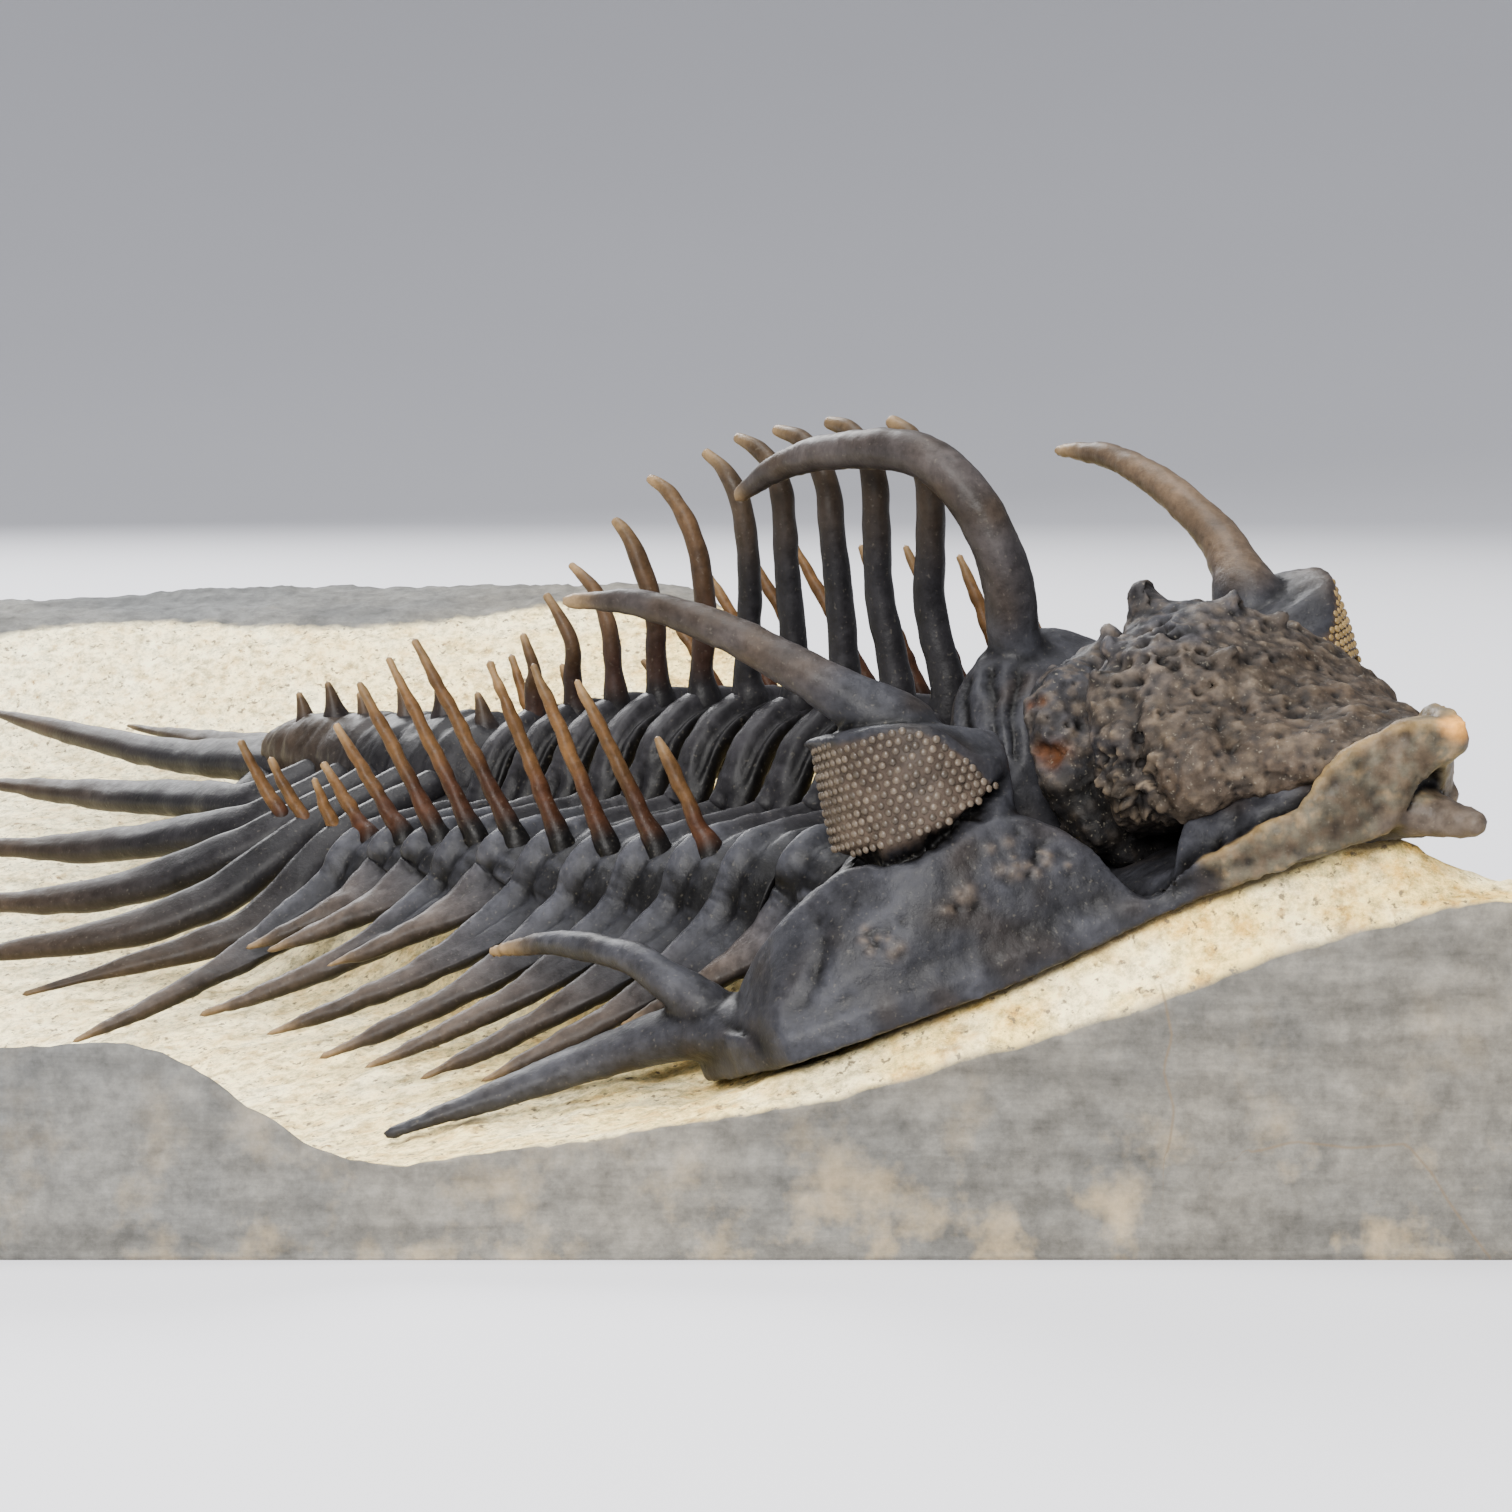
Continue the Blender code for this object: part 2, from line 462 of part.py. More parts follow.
def ground_height(x, y, place):
    """Top of the rock at a place on the slab, before the fossil is let into it."""
    local = place.inverted() @ Vector((x, y, 4.0))
    across = abs(local.y)
    floor = table(FLOOR_HEIGHT, local.x)
    if CORE_HEIGHT[0][0] < local.x < CORE_HEIGHT[-1][0]:
        core = table(CORE_HEIGHT, local.x)
        floor = mix(core, floor, smooth((across - CORE_HALF_WIDTH) / (CORE_FOOT_WIDTH - CORE_HALF_WIDTH)))
    top = (place @ Vector((local.x, local.y, floor))).z
    top -= (FAR_DIP_DEPTH * smooth((local.y - FAR_DIP_ACROSS[0]) / FAR_DIP_ACROSS[1])
            * smooth((local.x - FAR_DIP_ALONG[0]) / FAR_DIP_ALONG[1]))
    top += table(FAR_BANK_HEIGHT, x) * smooth((y - FAR_BANK_START_Y) / FAR_BANK_WIDTH)
    top = min(top, table(RIGHT_CREST, x) - RIGHT_FALL * (y - SLAB_NEAR_Y))
    wall_top = table(NEAR_WALL_TOP, x)
    near = SLAB_NEAR_Y + NEAR_WALL_SLOPE * wall_top
    top = mix(wall_top, top, max(0.0, min(1.0, (y - near) / table(NEAR_WALL_BLEND, x))))
    top += SWELL_HEIGHT * noise.noise(Vector((x, y, top)) * SWELL_SCALE)
    return max(SLAB_LEAST_THICKNESS, top)


def underside_limit(x, y, trees):
    """Lowest fossil surface over a place, less the clearance."""
    limit = 100.0
    for step_x in PROBE_STEPS:
        for step_y in PROBE_STEPS:
            start = Vector((x + step_x, y + step_y, -5.0))
            for tree in trees:
                hit = tree.ray_cast(start, Vector((0.0, 0.0, 1.0)))
                if hit[0] is not None:
                    limit = min(limit, hit[0].z - CLEARANCE)
    return limit


def fossil_trees(fossil):
    """The fossil's surfaces in slab coordinates, ready for rays."""
    to_slab = Matrix.Translation(PLACE_SHIFT).inverted() @ Matrix.Scale(1.0 / MM, 4)
    trees = []
    for obj in fossil:
        bm = bmesh.new()
        bm.from_mesh(obj.data)
        bmesh.ops.transform(bm, verts=bm.verts, matrix=to_slab)
        trees.append(BVHTree.FromBMesh(bm))
        bm.free()
    return trees


def build_slab(place, fossil):
    """A grid for the top with steep walls that lean out to the flat foot."""
    trees = fossil_trees(fossil)
    rows = int(SLAB_ROW_SHARE[-1][0])
    bm = bmesh.new()
    bmesh.ops.create_grid(bm, x_segments=SLAB_COLUMNS, y_segments=rows, size=1.0)
    wall = bmesh.ops.extrude_edge_only(bm, edges=[e for e in bm.edges if e.is_boundary])
    for item in wall["geom"]:
        if isinstance(item, bmesh.types.BMVert):
            item.co.z = -1.0
    floor = [g for g in wall["geom"] if isinstance(g, bmesh.types.BMEdge) and g.is_boundary]
    bmesh.ops.contextual_create(bm, geom=floor)
    for vert in bm.verts:
        side, away, level = vert.co
        x = mix(SLAB_LEFT_X + SLAB_SIDE_INSET, SLAB_RIGHT_X - SLAB_SIDE_INSET, (side + 1.0) / 2.0)
        near = SLAB_NEAR_Y + NEAR_WALL_SLOPE * table(NEAR_WALL_TOP, x)
        far = table(SLAB_FAR_EDGE, x) - SLAB_SIDE_INSET
        y = mix(near, far, table(SLAB_ROW_SHARE, (away + 1.0) / 2.0 * rows))
        z = max(SLAB_LEAST_THICKNESS * 0.5, min(ground_height(x, y, place), underside_limit(x, y, trees)))
        if level < -0.5:
            z = 0.0
            if abs(side) > 0.999:
                x += math.copysign(SLAB_SIDE_INSET, side)
            if away < -0.999:
                y = SLAB_NEAR_Y
            if away > 0.999:
                y += SLAB_SIDE_INSET
        vert.co = (x, y, z)
    return object_from(bm, "matrix")


def material(name, colour, roughness):
    surface = bpy.data.materials.new(name)
    surface.use_nodes = True
    shader = surface.node_tree.nodes["Principled BSDF"]
    shader.inputs["Base Color"].default_value = colour + (1.0,)
    shader.inputs["Roughness"].default_value = roughness
    shader.inputs["Metallic"].default_value = 0.0
    return surface


def finish(obj, collection, colour, roughness, matrix):
    obj.data.transform(Matrix.Scale(MM, 4) @ Matrix.Translation(PLACE_SHIFT) @ matrix)
    obj.data.materials.clear()
    obj.data.materials.append(material(obj.name + "_surface", colour, roughness))
    obj.data.shade_smooth()
    obj.data.set_sharp_from_angle(angle=math.radians(SHARP_DEG))
    for holder in list(obj.users_collection):
        holder.objects.unlink(obj)
    collection.objects.link(obj)


def build():
    clear_scene()
    collection = bpy.data.collections.new(COLLECTION_NAME)
    bpy.context.scene.collection.children.link(collection)
    place = body_matrix()
    fossil = [build_cephalon()]
    fossil += [build_ring(number) for number in range(1, RING_COUNT + 1)]
    fossil.append(build_tail())
    for obj in fossil:
        finish(obj, collection, SHELL_COLOUR, SHELL_ROUGHNESS, place)
    finish(build_slab(place, fossil), collection, ROCK_COLOUR, ROCK_ROUGHNESS, Matrix.Identity(4))


build()
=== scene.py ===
import json
import math
from contextlib import contextmanager

import bmesh
import bpy
import numpy as np
from mathutils import Matrix, Vector, noise
from mathutils.bvhtree import BVHTree

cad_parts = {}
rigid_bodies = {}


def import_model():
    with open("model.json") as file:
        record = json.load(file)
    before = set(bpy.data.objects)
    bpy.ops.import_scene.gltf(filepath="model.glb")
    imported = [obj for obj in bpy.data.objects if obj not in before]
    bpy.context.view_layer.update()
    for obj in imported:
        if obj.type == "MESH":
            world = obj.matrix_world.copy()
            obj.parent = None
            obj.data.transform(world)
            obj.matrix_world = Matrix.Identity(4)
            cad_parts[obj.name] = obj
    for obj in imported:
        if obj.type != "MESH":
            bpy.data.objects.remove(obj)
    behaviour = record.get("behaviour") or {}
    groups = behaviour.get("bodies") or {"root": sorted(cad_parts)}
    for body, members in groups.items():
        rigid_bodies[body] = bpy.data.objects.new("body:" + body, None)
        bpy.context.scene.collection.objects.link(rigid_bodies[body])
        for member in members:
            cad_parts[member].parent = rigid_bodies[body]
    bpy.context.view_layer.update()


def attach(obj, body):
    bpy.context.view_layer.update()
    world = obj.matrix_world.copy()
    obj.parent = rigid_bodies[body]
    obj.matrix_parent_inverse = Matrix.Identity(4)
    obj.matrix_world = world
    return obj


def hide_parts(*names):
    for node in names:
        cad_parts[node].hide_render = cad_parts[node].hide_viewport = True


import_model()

# The head shield is one plate of mineral shell with the cheeks, eyes, neck ring, front plate and
# all its spines grown together. It is worked up in millimetres in its own frame, tipped up from
# the body, then fused by a fine remesh so that every spine runs into the plate with a soft root.
MM = 0.001
WELD = 1e-4
SIDES = (-1.0, 1.0)
LAY_ON_SLAB = (Matrix.Translation((13.5, -18.95, 5.13))
               @ Matrix.Rotation(math.radians(-46.5), 4, "Z")
               @ Matrix.Rotation(math.radians(4.8), 4, "Y")
               @ Matrix.Rotation(math.radians(11.4), 4, "X"))
TIP_UP = Matrix.Rotation(math.radians(-22.0), 4, "Y")

HEAD_WIDTH = 12.4
HEAD_FRONT = [(0.0, 15.2), (1.0, 15.0), (2.0, 14.3), (2.9, 13.4), (3.6, 12.2), (4.3, 11.1), (5.0, 10.4),
              (6.0, 9.6), (8.2, 8.2), (10.3, 6.7), (12.4, 4.8)]
HEAD_BACK = [(0.0, 3.9), (4.0, 3.6), (6.5, 2.5), (8.5, 0.7), (10.4, -0.4), (11.6, 0.4), (12.4, 2.8)]
BORDER_TOP = [(0.0, 2.1), (2.0, 1.95), (3.1, 1.75), (4.3, 1.5), (6.0, 1.25), (8.2, 1.1), (12.4, 1.1)]
BORDER_FOOT = [(0.0, 0.9), (3.1, 0.9), (4.6, 0.8), (6.0, 0.6), (8.2, 0.4), (12.4, 0.4)]
SHELF_RISE = 1.0
FRONT_SLANT = 0.75

# Cheek dome: crest place, reach ahead, behind, outward and inward, and height of its top. The wall
# gives how far in from the rim the cheek reaches its height, at each u. The lobe swells its rear
# corner: place, radius and rise.
CHEEK_CREST = (6.4, 6.8)
CHEEK_REACH = (4.8, 6.6, 7.6, 3.0)
CHEEK_TOP = 4.65
CHEEK_WALL = [(4.0, 1.6), (5.8, 1.1), (6.8, 0.6), (7.5, 0.36)]
GENAL_LOBE = (2.8, 10.5, 3.0, 1.1)


def run_along(points):
    """Distance along a line of points."""
    return np.concatenate([[0.0], np.cumsum(np.linalg.norm(np.diff(points, axis=0), axis=1))])


def flow(rows, count):
    """Evenly spaced points on a smooth curve through the rows; any number of columns."""
    knots = np.array(rows, float)
    ends = np.vstack([2 * knots[0] - knots[1], knots, 2 * knots[-1] - knots[-2]])
    t = np.linspace(0.0, 1.0, 24, endpoint=False)[:, None]
    parts = []
    for a, b, c, d in zip(ends, ends[1:], ends[2:], ends[3:]):
        parts.append(0.5 * (2 * b + (c - a) * t + (2 * a - 5 * b + 4 * c - d) * t ** 2
                            + (3 * b - a - 3 * c + d) * t ** 3))
    line = np.vstack(parts + [knots[-1:]])
    run = run_along(line[:, :3])
    even = np.linspace(0.0, run[-1], count)
    return np.column_stack([np.interp(even, run, line[:, k]) for k in range(line.shape[1])])


def ease(t):
    t = np.clip(t, 0.0, 1.0)
    return t * t * (3.0 - 2.0 * t)


def onset(value, start, width):
    """Rises from 0 at the start to 1 over the width."""
    return ease((value - start) / width)


def fade(value, end, width):
    """Falls from 1 to 0 over the width that leads up to the end."""
    return ease((end - value) / width)


def hump(distance, width):
    return np.exp(-(distance / width) ** 2)


def along(rows, values):
    """Reads a smooth curve through (input, output) rows."""
    line = flow(rows, 120)
    return np.interp(values, line[:, 0], line[:, 1])


def points_of(mesh):
    co = np.empty(len(mesh.vertices) * 3)
    mesh.vertices.foreach_get("co", co)
    return co.reshape(-1, 3)


def move_points(mesh, co):
    mesh.vertices.foreach_set("co", np.asarray(co, np.float32).ravel())
    mesh.update()


def mesh_from(bm, name):
    mesh = bpy.data.meshes.new(name)
    bm.to_mesh(mesh)
    bm.free()
    return mesh


@contextmanager
def editing(mesh):
    """Opens a mesh for bmesh operators, and writes it back with its faces turned outward."""
    bm = bmesh.new()
    bm.from_mesh(mesh)
    yield bm
    bmesh.ops.recalc_face_normals(bm, faces=bm.faces)
    bm.to_mesh(mesh)
    bm.free()


def unit_sheet(name, steps, strips):
    """A flat grid from (0, 0) to (1, 1) and its two coordinates."""
    bm = bmesh.new()
    bmesh.ops.create_grid(bm, x_segments=steps, y_segments=strips, size=0.5)
    bmesh.ops.translate(bm, verts=bm.verts, vec=(0.5, 0.5, 0.0))
    mesh = mesh_from(bm, name)
    co = points_of(mesh)
    return mesh, co[:, 0].copy(), co[:, 1].copy()


def weld(mesh):
    with editing(mesh) as bm:
        bmesh.ops.remove_doubles(bm, verts=bm.verts, dist=WELD)
    return mesh


def set_paint(mesh, colours):
    layer = mesh.attributes.get("paint") or mesh.attributes.new("paint", "FLOAT_COLOR", "POINT")
    rgba = np.ones((len(mesh.vertices), 4), np.float32)
    rgba[:, :3] = colours
    layer.data.foreach_set("color", rgba.ravel())


def tube(name, rows, count, around, up=(0.0, 0.0, 1.0), section=None, colour=None, blunt=1.0):
    """A closed, round-ended solid along rows of x, y, z, half width and half height."""
    path = flow(rows, count)
    centre = path[:, :3]
    ahead = np.gradient(centre, axis=0)
    ahead /= np.linalg.norm(ahead, axis=1)[:, None]
    across = np.cross(ahead, np.array(up, float))
    across /= np.linalg.norm(across, axis=1)[:, None]
    lift = np.cross(across, ahead)
    run = run_along(centre)
    size = path[:, 3:5] if path.shape[1] > 4 else np.repeat(path[:, 3:4], 2, axis=1)
    for end, distance in ((0, run), (-1, run[-1] - run)):
        reach = max(float(size[end].mean()) * blunt, 0.02)
        near = np.clip(1.0 - distance / reach, 0.0, 1.0)
        size = size * np.sqrt(np.clip(1.0 - near ** 2, 0.0, 1.0))[:, None]
    mesh, s, t = unit_sheet(name, count - 1, around)
    index = np.rint(s * (count - 1)).astype(int)
    a = np.cos(2 * math.pi * t)
    b = np.sin(2 * math.pi * t)
    if section:
        a, b = section(s, a, b)
    co = (centre[index] + across[index] * (a * size[index, 0])[:, None]
          + lift[index] * (b * size[index, 1])[:, None])
    move_points(mesh, co)
    if colour:
        set_paint(mesh, colour(s))
    return weld(mesh)


def blob(name, centre, half, power, turn=0.0):
    """A rounded block: an icosphere squared off by the power and turned nose down."""
    bm = bmesh.new()
    bmesh.ops.create_icosphere(bm, subdivisions=5, radius=1.0)
    mesh = mesh_from(bm, name)
    co = points_of(mesh)
    swell = (np.abs(co) ** power).sum(axis=1) ** (-1.0 / power)
    co = co * swell[:, None] * np.array(half)
    tip = np.array(Matrix.Rotation(math.radians(turn), 3, "Y"))
    move_points(mesh, co @ tip.T + np.array(centre))
    return mesh


def mirrored(rows, side):
    return [(row[0], row[1] * side) + tuple(row[2:]) for row in rows]


def show(name, data):
    """A new object in the scene."""
    obj = bpy.data.objects.new(name, data)
    bpy.context.scene.collection.objects.link(obj)
    return obj


def gather(name, meshes):
    """One object from several closed shells."""
    bm = bmesh.new()
    for mesh in meshes:
        bm.from_mesh(mesh)
        bpy.data.meshes.remove(mesh)
    return show(name, mesh_from(bm, name))


def fuse(obj, size):
    """Joins the closed shells of an object into one skin."""
    grain = obj.modifiers.new("fuse", "REMESH")
    grain.mode = "VOXEL"
    grain.voxel_size = size
    bpy.context.view_layer.update()
    skin = obj.evaluated_get(bpy.context.evaluated_depsgraph_get())
    fused = bpy.data.meshes.new_from_object(skin)
    obj.modifiers.clear()
    obj.data = fused


def loosen(mesh, times):
    bm = bmesh.new()
    bm.from_mesh(mesh)
    for _ in range(times):
        bmesh.ops.smooth_vert(bm, verts=bm.verts, factor=0.5, use_axis_x=True, use_axis_y=True,
                              use_axis_z=True)
    bm.to_mesh(mesh)
    bm.free()


def head_top(u, y):
    """Height of the head plate: a flat rim, a domed cheek under each eye and furrows beside it."""
    across = np.abs(y)
    border = along(BORDER_TOP, across)
    inset = np.minimum((along(HEAD_FRONT, across) - u) * FRONT_SLANT, HEAD_WIDTH + 0.1 - across)
    behind = u - along(HEAD_BACK, across)
    ahead, back, out, inward = CHEEK_REACH
    far_u = (u - CHEEK_CREST[0]) / np.where(u > CHEEK_CREST[0], ahead, back)
    far_y = (across - CHEEK_CREST[1]) / np.where(across > CHEEK_CREST[1], out, inward)
    dome = np.clip(1.0 - np.hypot(far_u, far_y) ** 2.2, 0.0, 1.0) ** 0.8
    wall = np.clip((inset - 0.1) / np.interp(u, *zip(*CHEEK_WALL)), 0.0, 1.0) ** 0.6
    top = border + (CHEEK_TOP - border) * dome * wall
    lobe = 1.0 - ((u - GENAL_LOBE[0]) ** 2 + (across - GENAL_LOBE[1]) ** 2) / GENAL_LOBE[2] ** 2
    top = np.maximum(top, border + GENAL_LOBE[3] * np.clip(lobe, 0.0, 1.0) ** 0.7 * wall)
    cheek_side = onset(across, 4.6, 0.8)
    top += cheek_side * (0.25 * hump(behind - 0.4, 0.45) - 0.35 * hump(behind - 1.2, 0.4))
    shelf = fade(across, 4.9, 0.6) * onset(u, 10.2, 0.8)
    top += SHELF_RISE * shelf * onset(inset, 0.1, 0.9)
    top -= 0.8 * hump(across - 4.45, 0.38) * onset(u, 5.4, 1.0) * fade(u, 11.0, 0.8)
    return np.maximum(top, along(BORDER_FOOT, across) + 0.35)


def close_rim(bm, rim):
    bmesh.ops.contextual_create(bm, geom=rim)
    bmesh.ops.triangulate(bm, faces=[face for face in bm.faces if len(face.verts) > 4])


def head_plate():
    mesh, s, t = unit_sheet("head_plate", 110, 210)
    y = (2.0 * t - 1.0) * HEAD_WIDTH
    run = 1.0 - (1.0 - s) ** 1.4
    back = along(HEAD_BACK, np.abs(y))
    u = back + (along(HEAD_FRONT, np.abs(y)) - back) * run
    move_points(mesh, np.column_stack([u, y, head_top(u, y)]))
    with editing(mesh) as bm:
        rim = [edge for edge in bm.edges if edge.is_boundary]
        wall = bmesh.ops.extrude_edge_only(bm, edges=rim)["geom"]
        for vert in wall:
            if isinstance(vert, bmesh.types.BMVert):
                vert.co.z = float(np.interp(abs(vert.co.y), *zip(*BORDER_FOOT)))
        close_rim(bm, [e for e in wall if isinstance(e, bmesh.types.BMEdge) and e.is_boundary])
    return mesh


# Front plate: foot and upper edge of one side, from the cheek border to the blunt upper point, and
# the height of the painted highlight along its crest at each distance from the middle
PLATE_FOOT = [(10.3, 4.8, 1.0), (11.1, 4.1, 1.2), (13.35, 2.9, 1.10), (14.7, 1.6, 1.03), (15.15, 1.0, 1.2),
              (15.5, 0.5, 1.6), (16.3, 0.12, 2.1)]
PLATE_EDGE = [(10.7, 4.8, 1.45), (11.8, 4.1, 1.8), (13.65, 2.9, 2.2), (14.6, 2.05, 2.87), (15.5, 1.1, 3.3),
              (16.4, 0.6, 3.08), (17.0, 0.2, 2.8)]
PLATE_HIGHLIGHT_LINE = [(0.0, 2.8), (0.6, 3.08), (1.1, 3.3), (2.05, 2.87), (2.9, 2.2), (4.1, 1.8)]
PLATE_THICK = 0.42


def front_plate(side):
    mesh, s, t = unit_sheet("front_plate", 70, 18)
    at = np.rint(s * 70).astype(int)
    foot = flow(PLATE_FOOT, 71)[at]
    edge = flow(PLATE_EDGE, 71)[at]
    co = foot + (edge - foot) * t[:, None]
    co[:, 0] += 0.16 * np.sin(math.pi * t)
    co[:, 2] += 0.07 * t * np.sin(s * 23.0)
    co[:, 1] *= side
    move_points(mesh, co)
    with editing(mesh) as bm:
        bmesh.ops.recalc_face_normals(bm, faces=bm.faces)
        outward = sum((face.normal for face in bm.faces), Vector()) @ Vector((0.6, side, 0.0))
        bmesh.ops.solidify(bm, geom=bm.faces[:], thickness=math.copysign(PLATE_THICK, outward))
    return mesh


# Eye drum: base centre, radii, height and lean in the head frame. The slopes say how much its top
# drops forward, inward and at its front corner.
EYE_BASE = (5.6, 7.0, 2.9)
EYE_RADII = (2.35, 2.05)
EYE_HEIGHT = 4.5
EYE_FOOT = 0.965
EYE_LEAN = (0.5, -0.3)
EYE_SLOPES = (0.10, 0.30, 0.85)


def eye_drop(u, across):
    """How far the drum's top lies below its outer edge: it falls forward, inward and at the front."""
    forward, inward, corner = EYE_SLOPES
    return (forward * (u - EYE_BASE[0]) + inward * np.clip(8.4 - across, 0.0, None)
            + corner * onset(u, 7.2, 1.2) * fade(across, 7.8, 1.2))


def eye_surface(angle, up, side, out=0.0):
    """A point on the eye drum; up runs from 0 at its foot to 1 at the lid."""
    narrow = EYE_FOOT + (1.0 - EYE_FOOT) * up + 0.05 * np.sin(math.pi * up)
    u = EYE_BASE[0] + EYE_LEAN[0] * up + np.cos(angle) * (EYE_RADII[0] * narrow + out)
    y = EYE_BASE[1] + EYE_LEAN[1] * up + np.sin(angle) * (EYE_RADII[1] * narrow + out)
    w = EYE_BASE[2] + EYE_HEIGHT * up - eye_drop(u, y) * up
    return np.column_stack([u, y * side, w])


def eye_drum(side):
    bm = bmesh.new()
    bmesh.ops.create_cone(bm, cap_ends=True, segments=72, radius1=1.0, radius2=1.0, depth=1.0)
    uprights = [e for e in bm.edges if abs(e.verts[0].co.z - e.verts[1].co.z) > 0.5]
    bmesh.ops.subdivide_edges(bm, edges=uprights, cuts=10)
    mesh = mesh_from(bm, "eye_drum")
    co = points_of(mesh)
    move_points(mesh, eye_surface(np.arctan2(co[:, 1], co[:, 0]), co[:, 2] + 0.5, side))
    return weld(mesh)


def eye_lid(side):
    """A low cap on the drum, with a ledge that stands out over the lenses at the back."""
    lid = blob("eye_lid", (5.95, side * 6.7, 7.36), (2.42, 2.12, 0.2), 2.2)
    co = points_of(lid)
    co[:, 2] -= eye_drop(co[:, 0], np.abs(co[:, 1]))
    move_points(lid, co)
    return lid


def head_shape():
    """Every part of the head as closed shells, in the head frame."""
    parts = [head_plate(),
             blob("neck_ring", (4.75, 0.0, 4.2), (1.45, 3.6, 3.4), 2.6),
             blob("neck_flare", (4.15, -0.1, 5.9), (1.6, 3.1, 2.4), 2.0),
             tube("upper_point", [(13.6, 0.0, 2.3, 1.3, 0.6), (15.0, 0.0, 2.5, 0.95, 0.75),
                                  (16.0, 0.0, 2.5, 0.55, 0.58), (16.9, 0.0, 2.55, 0.4, 0.42)], 40, 24),
             tube("lower_point", [(12.8, 0.0, 1.2, 1.1, 0.55), (14.4, 0.0, 1.12, 0.8, 0.6),
                                  (15.4, 0.0, 0.78, 0.58, 0.5), (16.1, 0.0, 0.52, 0.36, 0.36),
                                  (16.6, 0.0, 0.36, 0.2, 0.2)], 50, 24, blunt=0.6)]
    for side in SIDES:
        parts.append(front_plate(side))
        parts.append(eye_drum(side))
        parts.append(eye_lid(side))
    for mesh in parts:
        mesh.transform(TIP_UP)
    return parts


LID_SPINE = [(3.6, 6.4, 7.9, 1.3), (2.7, 6.9, 8.9, 0.95), (2.0, 7.35, 9.5, 0.7), (0.7, 7.9, 10.3, 0.56),
             (-1.2, 8.4, 11.1, 0.48), (-3.4, 8.9, 11.6, 0.38), (-5.0, 9.2, 11.6, 0.27),
             (-6.2, 9.4, 11.45, 0.15)]
NECK_SPINE = [(2.3, -0.3, 5.8, 1.5), (1.7, -0.5, 7.4, 0.98), (1.35, -0.7, 9.0, 0.72),
              (1.3, -0.9, 11.2, 0.66), (0.6, -1.1, 12.9, 0.62), (-0.5, -1.3, 13.9, 0.6),
              (-1.7, -1.4, 14.15, 0.57), (-3.4, -1.4, 14.0, 0.52), (-5.0, -1.4, 13.7, 0.46),
              (-6.6, -1.4, 13.1, 0.36), (-8.1, -1.4, 12.2, 0.22)]
GENAL_SPINE = [(3.2, 10.2, 2.3, 1.5, 0.8), (2.0, 10.7, 2.1, 1.4, 0.8), (-0.3, 11.4, 1.75, 1.1, 0.7),
               (-2.4, 12.9, 1.0, 0.75, 0.5), (-4.3, 15.2, 0.2, 0.45, 0.32), (-5.6, 17.4, -0.3, 0.14, 0.12)]
CHEEK_SPINE = [(0.5, 11.1, 1.8, 1.0), (-0.1, 11.4, 2.5, 0.68), (-0.9, 11.7, 3.05, 0.5),
               (-2.2, 11.7, 3.35, 0.43), (-5.2, 11.5, 3.05, 0.34), (-8.5, 11.2, 2.05, 0.15)]
HEAD_GRAIN = 0.122

shells = head_shape()
for hand in SIDES:
    shells.append(tube("lid_spine", mirrored(LID_SPINE, hand), 90, 24, (1.0, 0.0, 0.0)))
    shells.append(tube("genal_spine", mirrored(GENAL_SPINE, hand), 90, 24))
    shells.append(tube("cheek_spine", mirrored(CHEEK_SPINE, hand), 80, 20, (0.0, 1.0, 0.0)))
shells.append(tube("neck_spine", NECK_SPINE, 120, 28, (0.0, 1.0, 0.0)))
head = gather("head_shield", shells)
fuse(head, HEAD_GRAIN)
loosen(head.data, 2)

# The glabella is the swollen middle of the head, a wedge that falls forward to the front plate,
# with a square lobe behind it. It is the same shell, but rough: warty, pitted and crusted.
GLABELLA = [(8.35, 0.0, 4.85, 3.55, 2.75), (9.3, 0.0, 4.8, 4.0, 2.75), (10.4, 0.0, 4.3, 4.2, 2.25),
            (11.5, 0.0, 3.8, 4.05, 1.65), (12.4, 0.0, 3.45, 3.5, 1.2), (13.4, 0.0, 3.15, 2.7, 0.85),
            (14.3, 0.0, 2.9, 1.9, 0.6), (15.2, 0.0, 2.8, 1.0, 0.36)]
GLABELLA_SQUARENESS = (2.7, 1.75)
GLABELLA_GRAIN = 0.075


def boxy(s, a, b):
    """An oval section, squared off below and roof-like above."""
    power = np.where(b > 0.0, GLABELLA_SQUARENESS[1], GLABELLA_SQUARENESS[0])
    return np.sign(a) * np.abs(a) ** (2.0 / power), np.sign(b) * np.abs(b) ** (2.0 / power)


def glabella_shape():
    body = tube("glabella_body", GLABELLA, 120, 96, section=boxy, blunt=0.3)
    co = points_of(body)
    co[:, 0] -= 0.9 * np.clip(1.0 - (co[:, 1] / 3.8) ** 2, 0.0, 1.0) * fade(co[:, 0], 10.6, 2.2)
    move_points(body, co)
    lobe = blob("back_lobe", (7.1, 0.0, 4.4), (0.95, 3.5, 2.9), 3.0, -8.0)
    for mesh in (body, lobe):
        mesh.transform(TIP_UP)
    return [body, lobe]


glabella = gather("glabella", glabella_shape())
fuse(glabella, GLABELLA_GRAIN)
loosen(glabella.data, 2)

